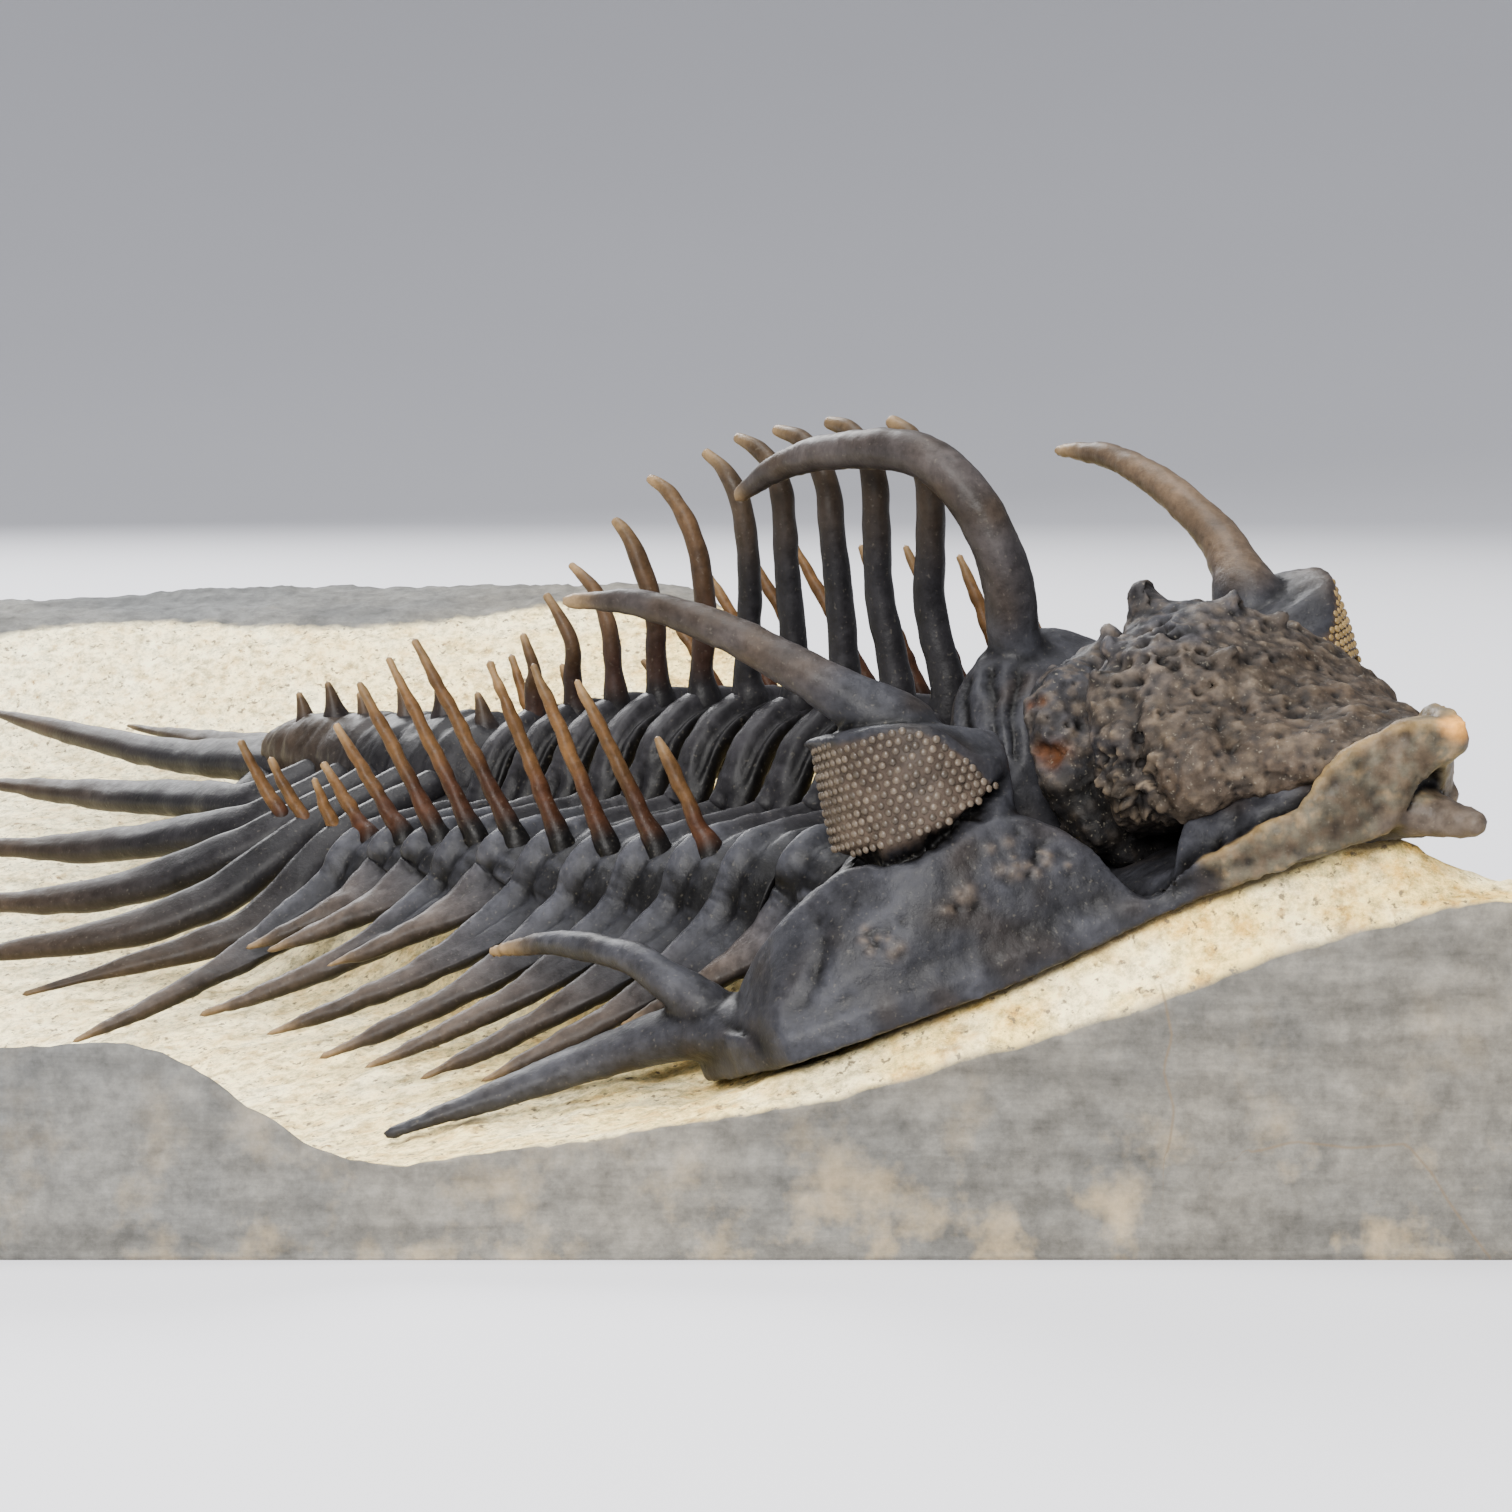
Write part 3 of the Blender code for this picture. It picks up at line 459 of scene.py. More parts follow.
# The finish of the shell: the colour of each spot comes from the piece's own paint attribute,
# broken up by mottling, fine specks of rock dust and a soft sheen.
CHARCOAL = np.array([0.0080, 0.0076, 0.0086])
SLATE = np.array([0.0168, 0.0172, 0.0205])
TAUPE = np.array([0.044, 0.034, 0.026])
BEIGE = np.array([0.150, 0.112, 0.072])
BROWN = np.array([0.030, 0.020, 0.012])
AMBER = np.array([0.060, 0.030, 0.011])
PALE = np.array([0.215, 0.142, 0.070])
RUST = np.array([0.026, 0.0100, 0.0045])
BLACK = np.array([0.0015, 0.0013, 0.0013])
LENS_GROUND = np.array([0.028, 0.020, 0.015])
PLATE_GREY = np.array([0.046, 0.040, 0.028])
PLATE_RIM_HIGHLIGHT = np.array([0.20, 0.125, 0.040])
ORANGE_TIP_HIGHLIGHT = np.array([0.55, 0.24, 0.04])
SOCKET_RUST = np.array([0.060, 0.022, 0.008])
ROCK_DUST = (0.20, 0.18, 0.14)


def blend(first, second, share):
    share = np.clip(share, 0.0, 1.0)[:, None]
    return np.asarray(first) * (1.0 - share) + np.asarray(second) * share


def coats(shade, *rows):
    """Lays colours over each other: rows of a colour and the share of it at each point."""
    for colour, share in rows:
        shade = blend(shade, colour, share)
    return shade


def node(tree, kind, **settings):
    made = tree.nodes.new("ShaderNode" + kind)
    for key, value in settings.items():
        if hasattr(made, key):
            setattr(made, key, value)
        else:
            made.inputs[key.replace("_", " ")].default_value = value
    return made


def noise_node(tree, place, scale, detail=4.0, roughness=0.55):
    made = node(tree, "TexNoise", Scale=scale, Detail=detail, Roughness=roughness)
    tree.links.new(place, made.inputs["Vector"])
    return made.outputs["Fac"]


def ramp(tree, value, *stops):
    made = node(tree, "ValToRGB")
    for element, (position, shade) in zip(made.color_ramp.elements, stops):
        element.position = position
        element.color = (shade, shade, shade, 1.0) if isinstance(shade, float) else tuple(shade) + (1.0,)
    tree.links.new(value, made.inputs["Fac"])
    return made.outputs["Color"]


def mixed(tree, first, second, share, kind="MIX"):
    made = node(tree, "Mix", data_type="RGBA", blend_type=kind)
    for socket, value in ((made.inputs[0], share), (made.inputs[6], first), (made.inputs[7], second)):
        if isinstance(value, bpy.types.NodeSocket):
            tree.links.new(value, socket)
        else:
            socket.default_value = value if isinstance(value, float) else tuple(value) + (1.0,)
    return made.outputs[2]


def dappled(tree, shade, value, low, high):
    """Darkens and lightens a colour by a noise."""
    return mixed(tree, shade, ramp(tree, value, low, high), 1.0, "MULTIPLY")


def flecked(tree, shade, flecks, value, low, high):
    """Lays flecks of another colour where a noise is high."""
    return mixed(tree, shade, flecks, ramp(tree, value, low, high))


def new_surface(name):
    surface = bpy.data.materials.new(name)
    surface.use_nodes = True
    tree = surface.node_tree
    return surface, tree, tree.nodes["Principled BSDF"], node(tree, "TexCoord").outputs["Object"]


def stored(tree, label, socket="Fac"):
    return node(tree, "Attribute", attribute_name=label).outputs[socket]


def shell_material(name, roughness=0.44, dust=0.12, relief=0.00005, mottle=1.0, shine=0.11):
    surface, tree, shader, place = new_surface(name)
    paint = stored(tree, "paint", "Color")
    broad = noise_node(tree, place, 620.0, 5.0)
    fine = noise_node(tree, place, 3600.0, 5.0, 0.65)
    specks = noise_node(tree, place, 9500.0, 2.0, 0.5)
    shade = dappled(tree, paint, broad, (0.30, 1.0 - 0.38 * mottle), (0.70, 1.0 + 0.4 * mottle))
    shade = dappled(tree, shade, fine, (0.28, 1.0 - 0.35 * mottle), (0.72, 1.0 + 0.4 * mottle))
    shade = flecked(tree, shade, ROCK_DUST, specks, (0.64, 0.0), (0.74, dust))
    tree.links.new(shade, shader.inputs["Base Color"])
    tree.links.new(ramp(tree, fine, (0.2, roughness - 0.12), (0.8, roughness + 0.16)),
                   shader.inputs["Roughness"])
    shader.inputs["Specular IOR Level"].default_value = shine
    bump = node(tree, "Bump", Strength=0.5, Distance=relief)
    tree.links.new(mixed(tree, fine, specks, 0.35), bump.inputs["Height"])
    tree.links.new(bump.outputs["Normal"], shader.inputs["Normal"])
    return surface


def finish_piece(obj, surface, replaced, matrix=LAY_ON_SLAB):
    obj.data.transform(Matrix.Scale(MM, 4) @ matrix)
    obj.data.materials.clear()
    obj.data.materials.append(surface)
    obj.data.shade_smooth()
    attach(obj, "root")
    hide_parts(replaced)


def normals_of(mesh):
    normals = np.empty(len(mesh.vertices) * 3)
    mesh.vertex_normals.foreach_get("vector", normals)
    return normals.reshape(-1, 3)


def hollows(mesh, times):
    """How far each point lies under the mean of the skin round it: over 0 in a groove."""
    count = len(mesh.vertices)
    ends = np.empty(len(mesh.edges) * 2, np.int32)
    mesh.edges.foreach_get("vertices", ends)
    first, second = ends.reshape(-1, 2).T
    here = np.concatenate([first, second])
    there = np.concatenate([second, first])
    share = np.maximum(np.bincount(here, minlength=count), 1)
    co = points_of(mesh)
    soft = co
    for _ in range(times):
        soft = np.column_stack([np.bincount(here, weights=soft[there, axis], minlength=count) / share
                                for axis in range(3)])
    return ((soft - co) * normals_of(mesh)).sum(axis=1)


def clouds(co, scale, seed=0.0):
    return np.array([noise.noise(Vector(p) * scale + Vector((seed, 0.0, 0.0))) for p in co.tolist()])


def roughen(mesh, amount, scale, seed, where=1.0):
    """Slightly uneven surface, moved along the normals."""
    co = points_of(mesh)
    lift = clouds(co, scale, seed) * where
    move_points(mesh, co + normals_of(mesh) * (lift * amount)[:, None])


def tipped(rows):
    """Rows that start with a head-frame u, y, w, brought to the body frame."""
    return [tuple(TIP_UP @ Vector(row[:3])) + tuple(row[3:]) for row in rows]


def in_head_frame(co):
    return co @ np.array(TIP_UP.inverted().to_3x3()).T


def strewn(draw, middles, count, spread, radii, lifts):
    """Marks strewn round each middle, each with one of the lifts."""
    marks = []
    for middle in middles:
        for _ in range(count):
            spot = np.array(middle) + draw.normal(0.0, 1.0, 3) * spread
            marks.append(tuple(spot) + (draw.uniform(*radii), float(draw.choice(lifts))))
    return marks


def carve(mesh, marks):
    """Raises or presses round marks: rows of x, y, z, radius, lift. Returns how far each point
    belongs to a pressed and to a raised mark.
    """
    co = points_of(mesh)
    start = co.copy()
    out = normals_of(mesh)
    felt = np.zeros((2, len(co)))
    for x, y, z, radius, rise in marks:
        middle = start[np.argmin(((start - (x, y, z)) ** 2).sum(axis=1))]
        near = np.abs(start - middle).max(axis=1) < radius * 2.3
        weight = hump(np.linalg.norm(start[near] - middle, axis=1), radius)
        co[near] += out[near] * (weight * rise)[:, None]
        layer = 0 if rise < 0.0 else 1
        felt[layer, near] = np.maximum(felt[layer, near], weight)
    move_points(mesh, co)
    return felt


def line_marks(rows, radius, rise):
    """Marks close enough along a line to read as one groove or ridge."""
    length = float(np.linalg.norm(np.diff(np.array(rows)[:, :3], axis=0), axis=1).sum())
    count = max(int(length / (radius * 0.6)), 2)
    return [tuple(p) + (radius, rise * 0.42) for p in flow(rows, count)[:, :3]]


SHELL = shell_material("dark_shell")
CRUST = shell_material("crusted_shell", roughness=0.6, dust=0.30, relief=0.00009, mottle=1.35)

# Foot of the lens field: compass angle in degrees (0 is forward, 90 outward) and height. The head of
# the near field is a share of the drum's height, and the spans are compass angles on each side.
LENS_FOOT = [(-40.0, 5.4), (-13.0, 5.0), (10.0, 4.6), (30.0, 4.4), (60.0, 4.25), (90.0, 4.3), (115.0, 4.5),
             (150.0, 4.7), (200.0, 4.9), (230.0, 5.2)]
LENS_HEAD = [(-24.0, 0.60), (5.0, 0.84), (35.0, 0.965)]
LENS_SPAN = {-1.0: (-24.0, 205.0), 1.0: (-60.0, 205.0)}
FAR_LENS_HEAD = 0.95
LENS_SLIT = (0.16, -0.2)

# Grooves and scars on the near cheek, in the head frame
CHEEK_GROOVE = [(4.3, -8.9, 4.2), (5.0, -10.2, 2.6), (4.9, -11.0, 1.9), (4.5, -11.7, 1.4)]
BORDER_HOLE = [(10.9, -4.35, 1.9), (10.6, -4.6, 1.7)]
FURROW_HOLES = [(8.3, -4.45, 3.2), (8.9, -4.5, 2.6), (9.6, -4.45, 2.2)]
BORDER_LINE = [(5.4, -11.3, 1.4), (7.6, -8.5, 1.6), (9.4, -6.3, 1.7), (10.6, -5.0, 1.8)]
WRINKLES = [[(4.9, -2.0, 8.0), (5.3, -3.0, 6.6), (5.6, -3.6, 5.2)],
            [(4.2, -2.4, 7.9), (4.4, -3.3, 6.5), (4.6, -3.8, 5.0)],
            [(5.6, -1.6, 7.8), (6.0, -2.8, 6.6), (6.2, -3.5, 5.4)],
            [(3.6, -1.6, 8.3), (3.5, -2.9, 7.0), (3.7, -3.7, 5.4)]]
CHEEK_SCARS = [(7.98, -8.5, 2.75), (8.25, -8.15, 2.8), (8.6, -7.3, 2.9), (8.9, -6.7, 2.9), (8.6, -6.3, 3.2),
               (9.1, -6.2, 2.8), (8.3, -6.9, 3.2), (5.75, -9.75, 2.4), (6.1, -9.8, 2.3), (6.5, -9.6, 2.4)]

# Radius and depth of each groove, and the depth at which its painted shade is quite black
HEAD_GROOVES = [(CHEEK_GROOVE, 0.22, -0.07), (BORDER_HOLE, 0.36, -0.5), (FURROW_HOLES, 0.42, -0.5),
                (BORDER_LINE, 0.2, -0.03)]
WRINKLE_SIZE = (0.2, -0.16)
SHADE_FULL_DEPTH = 0.3

# Pale ends of the long spines, in the body frame: place and reach
PALE_TIPS = [((-8.2, -1.4, 12.1), 1.2)]
PALE_TIPS += [((-6.2, 9.4 * hand, 11.4), 1.8) for hand in SIDES]
PALE_TIPS += [((-8.6, 11.2 * hand, 2.0), 3.4) for hand in SIDES]


def lens_foot(angle):
    """How far up the drum the lens field starts at a compass angle in radians."""
    height = np.interp(np.degrees(angle), *zip(*LENS_FOOT))
    belt = eye_surface(angle, 0.4, 1.0)
    return (height - EYE_BASE[2]) / (EYE_HEIGHT - eye_drop(belt[:, 0], belt[:, 1]))


def lens_head(angle, side):
    """How far up the drum the lens field ends: lower at the near eye's front, under the lid."""
    return np.where(side > 0.0, FAR_LENS_HEAD, np.interp(np.degrees(angle), *zip(*LENS_HEAD)))


def mark_head(mesh):
    """Presses the furrows, holes and scars in; returns the painted shade of each point, from how deep it
    lies, and the raised scars.
    """
    pressed = np.zeros(len(mesh.vertices))
    for rows, radius, depth in HEAD_GROOVES:
        felt = carve(mesh, line_marks(tipped(rows), radius, depth))
        pressed = np.maximum(pressed, felt[0] * min(1.0, (-depth / SHADE_FULL_DEPTH) ** 1.5))
    for rows in WRINKLES:
        felt = carve(mesh, line_marks(tipped(rows), *WRINKLE_SIZE))
        pressed = np.maximum(pressed, felt[0] * 0.4)
    scars = strewn(np.random.default_rng(5), CHEEK_SCARS, 6, 0.22, (0.08, 0.17), [-0.06, 0.06])
    scarred = carve(mesh, tipped(scars))
    # A slit is pressed in below each lens field, and it also gets painted shade.
    for side in SIDES:
        angle = np.radians(np.linspace(*LENS_SPAN[side], 120))
        slit = eye_surface(angle, lens_foot(angle) - 0.02, side)
        slit = carve(mesh, tipped([tuple(p) + LENS_SLIT for p in slit]))
        pressed = np.maximum(pressed, slit[0] * 0.95)
    return pressed, scarred[1]


def paint_head(mesh, pressed, scarred):
    co = points_of(mesh)
    u, y, w = in_head_frame(co).T
    across = np.abs(y)
    cloud = clouds(co, 0.9)
    shade = blend(SLATE, CHARCOAL, 0.35 + 1.1 * cloud)
    shade = coats(shade,
                  (BROWN, onset(cloud, 0.15, 0.4) * 0.15),
                  (TAUPE, scarred * 0.7))

    middle_u = (u - EYE_BASE[0] - 0.6 * EYE_LEAN[0]) / EYE_RADII[0]
    middle_y = (across - EYE_BASE[1] - 0.6 * EYE_LEAN[1]) / EYE_RADII[1]
    drum = np.hypot(middle_u, middle_y)
    angle = np.arctan2(middle_y, middle_u)
    angle = np.where(angle < -math.pi / 2, angle + 2 * math.pi, angle)
    up = (w - EYE_BASE[2]) / (EYE_HEIGHT - eye_drop(u, across))
    first = np.radians(np.where(y > 0.0, LENS_SPAN[1.0][0], LENS_SPAN[-1.0][0]))
    lenses = onset(up, lens_foot(angle), 0.03) * fade(up, lens_head(angle, y) + 0.01, 0.03)
    lenses *= onset(drum, 0.82, 0.05) * fade(drum, 1.3, 0.1)
    lenses *= (angle > first) & (angle < math.radians(LENS_SPAN[1.0][1]))
    shade = blend(shade, LENS_GROUND, lenses)

    plate = onset(u - 0.35 * cloud, 11.2, 0.5) * fade(across, 4.3, 0.3)
    wall = plate * onset(u, along(HEAD_FRONT, across) - 0.25, 0.2)
    wall = np.maximum(wall, plate * onset(u, 15.0, 0.3))
    fleck = np.array([noise.fractal(Vector(p) * 1.9 + Vector((9.0, 0.0, 0.0)), 0.6, 2.3, 4)
                      for p in co.tolist()])
    shade = coats(shade,
                  (PLATE_GREY, wall),
                  (BROWN * 1.5, wall * onset(fleck, -0.25, 0.7) * 0.75),
                  (PALE * 0.55, wall * fade(fleck, -0.30, 0.3) * 0.5))
    # A thin amber painted highlight runs along the front plate's upper edge.
    edge = np.interp(across, *zip(*PLATE_HIGHLIGHT_LINE))
    shade = blend(shade, PLATE_RIM_HIGHLIGHT, wall * hump(w - edge, 0.16) * 0.35)
    # A painted orange highlight on the end of the upper point.
    tip = np.linalg.norm(np.column_stack([u - 17.1, y, w - 2.9]), axis=1)
    shade = blend(shade, ORANGE_TIP_HIGHLIGHT, fade(tip, 0.75, 0.5) * 0.85)
    prong = onset(u, 14.6, 0.4) * fade(w, 1.35, 0.2)
    shade = blend(shade, TAUPE * 0.9, prong)

    spine = onset(co[:, 2], 9.2, 1.5) * fade(co[:, 0], 2.4, 1.0)
    shade = blend(shade, BROWN, spine * 0.35)
    far_lid = onset(co[:, 2], 9.0, 1.0) * onset(y, 5.0, 1.0)
    shade = blend(shade, BROWN * 1.8, far_lid * 0.75)
    tips = np.zeros(len(co))
    for spine_end, reach in PALE_TIPS:
        gap = np.linalg.norm(co - spine_end, axis=1)
        tips = np.maximum(tips, fade(gap, reach, reach))
    shade = blend(shade, PALE * 0.75, tips * 0.75)
    scrape = np.linalg.norm(co - np.array(TIP_UP @ Vector((4.9, -6.9, 8.3))), axis=1)
    # The scrape is taupe shell; the pressed grooves, holes, slits and wrinkles are blackened with painted
    # shade.
    shade = coats(shade,
                  (TAUPE * 1.3, fade(scrape, 0.75, 0.35) * 0.7),
                  (BLACK, pressed * 0.95))
    # Painted shade: the furrow beside the glabella is painted nearly black.
    furrow_shade = hump(across - 4.2, 0.75) * onset(u, 4.6, 0.8) * fade(u, 9.4, 0.8) * fade(w, 7.0, 1.0)
    shade = blend(shade, BLACK, furrow_shade * 0.85)
    # Painted shade blackens the head's grooves and hollows, and painted highlights lighten its ridges.
    hollow = hollows(mesh, 10)
    shade = blend(shade * (1.0 + 0.35 * np.clip(-hollow / 0.04, 0.0, 1.0))[:, None], BLACK, hollow / 0.06)
    # Painted shade in the groove behind the cheeks, along the back of the head.
    behind = u - along(HEAD_BACK, across)
    shade = blend(shade, BLACK, onset(across, 4.6, 0.8) * hump(behind - 1.25, 0.35) * 0.5 * (w < 4.0))
    set_paint(mesh, shade)


roughen(head.data, 0.035, 1.5, 2.0)
roughen(head.data, 0.02, 4.0, 6.0)
front = in_head_frame(points_of(head.data))
front = onset(front[:, 0], 11.0, 0.8) * fade(np.abs(front[:, 1]), 4.6, 0.5)
roughen(head.data, 0.10, 1.7, 8.0, front)
roughen(head.data, 0.05, 3.6, 12.0, front)
depth, scar = mark_head(head.data)
paint_head(head.data, depth, scar)
finish_piece(head, SHELL, "cephalon")

# Warts, spikes, pits and crust on the glabella, in the head frame: the spikes stand on the top,
# the crust is on the near flank and a rusty socket is left in the lobe behind.
SPIKES = [(8.8, 0.0, 7.7, 0.42, 0.85), (7.3, 0.0, 7.4, 0.26, 0.55), (12.2, -0.9, 6.2, 0.24, 0.42),
          (9.0, -1.9, 7.3, 0.24, 0.4), (10.6, 0.9, 7.1, 0.25, 0.45), (8.2, 1.8, 7.3, 0.28, 0.5),
          (9.3, -3.2, 6.9, 0.22, 0.3), (11.3, 2.0, 6.5, 0.22, 0.35)]
TOP_PITS = [(9.9, -1.0, 7.3), (10.3, -1.3, 7.1), (11.4, -1.5, 6.6), (10.8, -2.1, 6.7), (9.7, -2.6, 7.0),
            (10.3, -3.0, 6.6), (11.9, -2.3, 6.2)]
# Grooves on the lobes: points, radius, depth and the share of painted shade in them.
LOBE_GROOVES = [
    ([(10.4, -3.4, 6.3), (10.8, -4.1, 5.2), (10.7, -4.3, 4.2), (10.9, -4.2, 3.2)], 0.22, -0.22, 0.5),
    ([(12.6, -1.6, 5.7), (12.9, -2.7, 4.9), (12.9, -3.2, 4.0)], 0.2, -0.16, 0.5),
    ([(8.2, -1.2, 7.7), (8.27, -2.0, 7.4), (8.35, -3.0, 6.4), (8.42, -3.7, 5.0)], 0.26, -0.5, 1.0),
]
CRUST_MIDDLE = (9.9, -4.2, 3.9)
CRUST_SPREAD = np.array([0.527, 0.62, 0.62])
WART_COUNT = 520
PIT_COUNT = 300
CRUMB_COUNT = 150
WARTS_ABOVE = 2.6
SOCKET = [(6.95, -3.45, 5.3), (7.3, -3.5, 5.1), (7.7, -3.4, 5.3)]
SOCKET_TOP = [(6.8, -3.2, 6.7), (7.2, -3.2, 6.6)]


def mark_glabella(mesh):
    draw = np.random.default_rng(11)
    # The grooves, pits and crust hollows are gathered here for painted shade.
    pits = np.zeros(len(mesh.vertices))
    for rows, radius, rise, shade_share in LOBE_GROOVES:
        pits = np.maximum(pits, carve(mesh, line_marks(tipped(rows), radius, rise))[0] * shade_share)
    carve(mesh, tipped(SPIKES))
    co = points_of(mesh)
    local = in_head_frame(co)
    warts = []
    skin = np.flatnonzero(local[:, 2] > WARTS_ABOVE)
    for spot in draw.choice(skin, WART_COUNT):
        warts.append(tuple(co[spot]) + (draw.uniform(0.07, 0.24), draw.uniform(0.02, 0.10)))
    raised = carve(mesh, warts)[1]
    holes = []
    for spot in draw.choice(skin, PIT_COUNT):
        u, y, w = local[spot]
        holes.append((u, y, w, draw.uniform(0.05, 0.11), -draw.uniform(0.03, 0.12)))
    holes += strewn(draw, TOP_PITS, 5, 0.22, (0.09, 0.17), [-0.26])
    pits = np.maximum(pits, carve(mesh, tipped(holes))[0])
    crust = strewn(draw, [CRUST_MIDDLE], CRUMB_COUNT, CRUST_SPREAD, (0.07, 0.14), [-0.2, 0.14])
    felt = carve(mesh, tipped(crust))
    pits = np.maximum(pits, felt[0])
    rust = carve(mesh, line_marks(tipped(SOCKET), 0.26, -0.3))[0]
    rust = np.maximum(rust * 0.8, carve(mesh, line_marks(tipped(SOCKET_TOP), 0.15, -0.12))[0] * 0.6)
    return raised, pits, rust, felt[1]


def paint_glabella(mesh, raised, pits, rust, crumbs):
    co = points_of(mesh)
    u, y, w = in_head_frame(co).T
    cloud = clouds(co, 0.8, 4.0)
    shade = blend(TAUPE, CHARCOAL * 2.0, 0.25 + 1.2 * cloud)
    shade = coats(shade,
                  (SLATE * 1.5, onset(w, 6.0, 1.2) * 0.75),
                  (SLATE * 1.2, fade(u, 8.7, 0.5) * 0.8),
                  (BROWN * 1.6, onset(u, 10.6, 0.5) * fade(w, 6.2, 1.0) * (0.45 + 0.8 * cloud)))
    grit = clouds(co, 4.5)
    # Round the crust the foot of the near flank is painted near black as painted shade; the grit over it is
    # grain.
    crust = hump(np.linalg.norm(np.column_stack([u, y, w]) - CRUST_MIDDLE, axis=1), 1.3)
    shade = coats(shade,
                  (BLACK * 3.0, crust * 0.75),
                  (TAUPE * 1.5, onset(grit, 0.1, 0.25) * 0.5),
                  (CHARCOAL, fade(grit, -0.1, 0.25) * 0.5))
    # Painted highlights lighten the ridges, and painted shade blackens the grooves and pits; the beige warts
    # and crumbs and the rusty socket are the shell's own colour.
    hollow = hollows(mesh, 12)
    shade = shade * (0.58 + 0.30 * np.clip(-hollow / 0.04, 0.0, 1.0))[:, None]
    shade = coats(shade,
                  (BLACK * 2.0, hollow / 0.08),
                  (BEIGE, raised * 0.18),
                  (BEIGE * 0.9, crumbs ** 3 * 0.55),
                  (BLACK * 2.5, pits * 0.85),
                  (SOCKET_RUST, rust * 0.9))
    # Painted shadow under the front of the glabella and under the lobe behind it.
    shadow_under_front = fade(w, 3.1, 0.8) * fade(u, 11.6, 0.6)
    shadow_under_lobe = fade(w, 4.9, 0.7) * fade(u, 8.5, 0.2)
    shade = blend(shade, BLACK, np.maximum(shadow_under_front, shadow_under_lobe) * 0.8)
    set_paint(mesh, shade)


roughen(glabella.data, 0.20, 0.9, 14.0)
roughen(glabella.data, 0.08, 2.1, 18.0)
roughen(glabella.data, 0.035, 6.0, 24.0)
paint_glabella(glabella.data, *mark_glabella(glabella.data))
finish_piece(glabella, CRUST, "cephalon")

# The eyes are compound, with hundreds of separate calcite lenses in offset rows round the drum.
# Each lens is a small dome of its own, seated in the brown ground of the eye.
LENS_PITCH = 0.258
LENS_ROW = 0.223
LENS_RADIUS = 0.100
LENS_STAND = 0.56
LENS_LOWEST = 3.9
LENS_HIGHEST = 7.6
NEAR_LENS = (0.052, 0.040, 0.029)
FAR_LENS = (0.150, 0.100, 0.038)


def lens_field(side, shade, spread, seed):
    draw = np.random.default_rng(seed)
    bm = bmesh.new()
    colours = []
    sweep = np.radians(np.linspace(*LENS_SPAN[side], 400))
    belt = eye_surface(sweep, 0.55, side)
    run = run_along(belt)
    row = 0
    height = LENS_LOWEST
    while height < LENS_HIGHEST:
        places = np.arange(LENS_PITCH * (0.5 if row % 2 else 1.0), run[-1], LENS_PITCH)
        angle = np.interp(places, run, sweep)
        angle += draw.normal(0.0, 0.006, len(angle))
        ring = eye_surface(angle, 0.55, 1.0)
        up = (height - EYE_BASE[2]) / (EYE_HEIGHT - eye_drop(ring[:, 0], ring[:, 1]))
        keep = (up > lens_foot(angle) + 0.04) & (up < lens_head(angle, side))
        spots = eye_surface(angle[keep], up[keep], side, 0.0)
        outer = eye_surface(angle[keep], up[keep], side, 0.5)
        for spot, away in zip(spots, outer):
            turn = Vector(away - spot).to_track_quat("Z", "Y").to_matrix().to_4x4()
            grow = draw.uniform(0.9, 1.06)
            seat = (Matrix.Translation(Vector(spot)) @ turn
                    @ Matrix.Diagonal((grow, grow, LENS_STAND * grow, 1.0)))
            made = bmesh.ops.create_icosphere(bm, subdivisions=2, radius=LENS_RADIUS, matrix=seat)
            tint = np.array(shade) * draw.uniform(1.0 - spread, 1.0 + spread)
            colours += [tint * (1.15 if draw.random() > 0.9 else 1.0)] * len(made["verts"])
        height += LENS_ROW
        row += 1
    mesh = mesh_from(bm, "lenses")
    set_paint(mesh, np.array(colours))
    mesh.transform(TIP_UP)
    return mesh


LENS = shell_material("calcite_lens", roughness=0.34, dust=0.10, relief=0.00002, mottle=0.5, shine=0.25)
lenses = gather("eye_lenses", [lens_field(-1.0, NEAR_LENS, 0.38, 31),
                               lens_field(1.0, FAR_LENS, 0.22, 32)])
finish_piece(lenses, LENS, "cephalon")

# Eleven thorax rings: each is one strip of shell that arches over the body and runs out on both
# sides into a flat curved blade. The second has an upright spine on its axis, and those behind it
# have two more on the hinge lines, all grown from the strip.
RING_PITCH = 1.96
CREST = [7.1, 6.9, 6.8, 6.6, 6.4, 6.2, 5.9, 5.6, 5.15, 4.7, 4.2]
HINGE_Y = [6.8, 6.9, 7.0, 7.1, 7.2, 7.2, 7.2, 7.1, 6.9, 6.7, 6.5]
HINGE_Z = [4.9, 4.6, 4.25, 3.9, 3.6, 3.4, 3.1, 2.8, 2.4, 2.0, 1.6]
BLADE_TIP = [(-3.2, 11.4, 1.2), (-5.7, 14.1, 0.0), (-7.6, 14.6, -0.2), (-9.7, 14.8, -0.3),
             (-11.5, 14.9, -0.4), (-14.2, 14.7, -0.4), (-14.6, 12.2, 0.7), (-18.2, 14.2, -0.9),
             (-18.3, 11.6, 0.2), (-20.0, 11.2, -0.2), (-22.2, 16.0, -2.0)]
BLADE_STEPS = [(0.14, 1.0, 0.55), (0.28, 0.92, 0.5), (0.42, 0.66, 0.42), (0.58, 0.42, 0.34),
               (0.80, 0.30, 0.25), (1.0, 0.05, 0.05)]
BLADE_SWEEP = 1.5
BLADE_DROP = 0.62
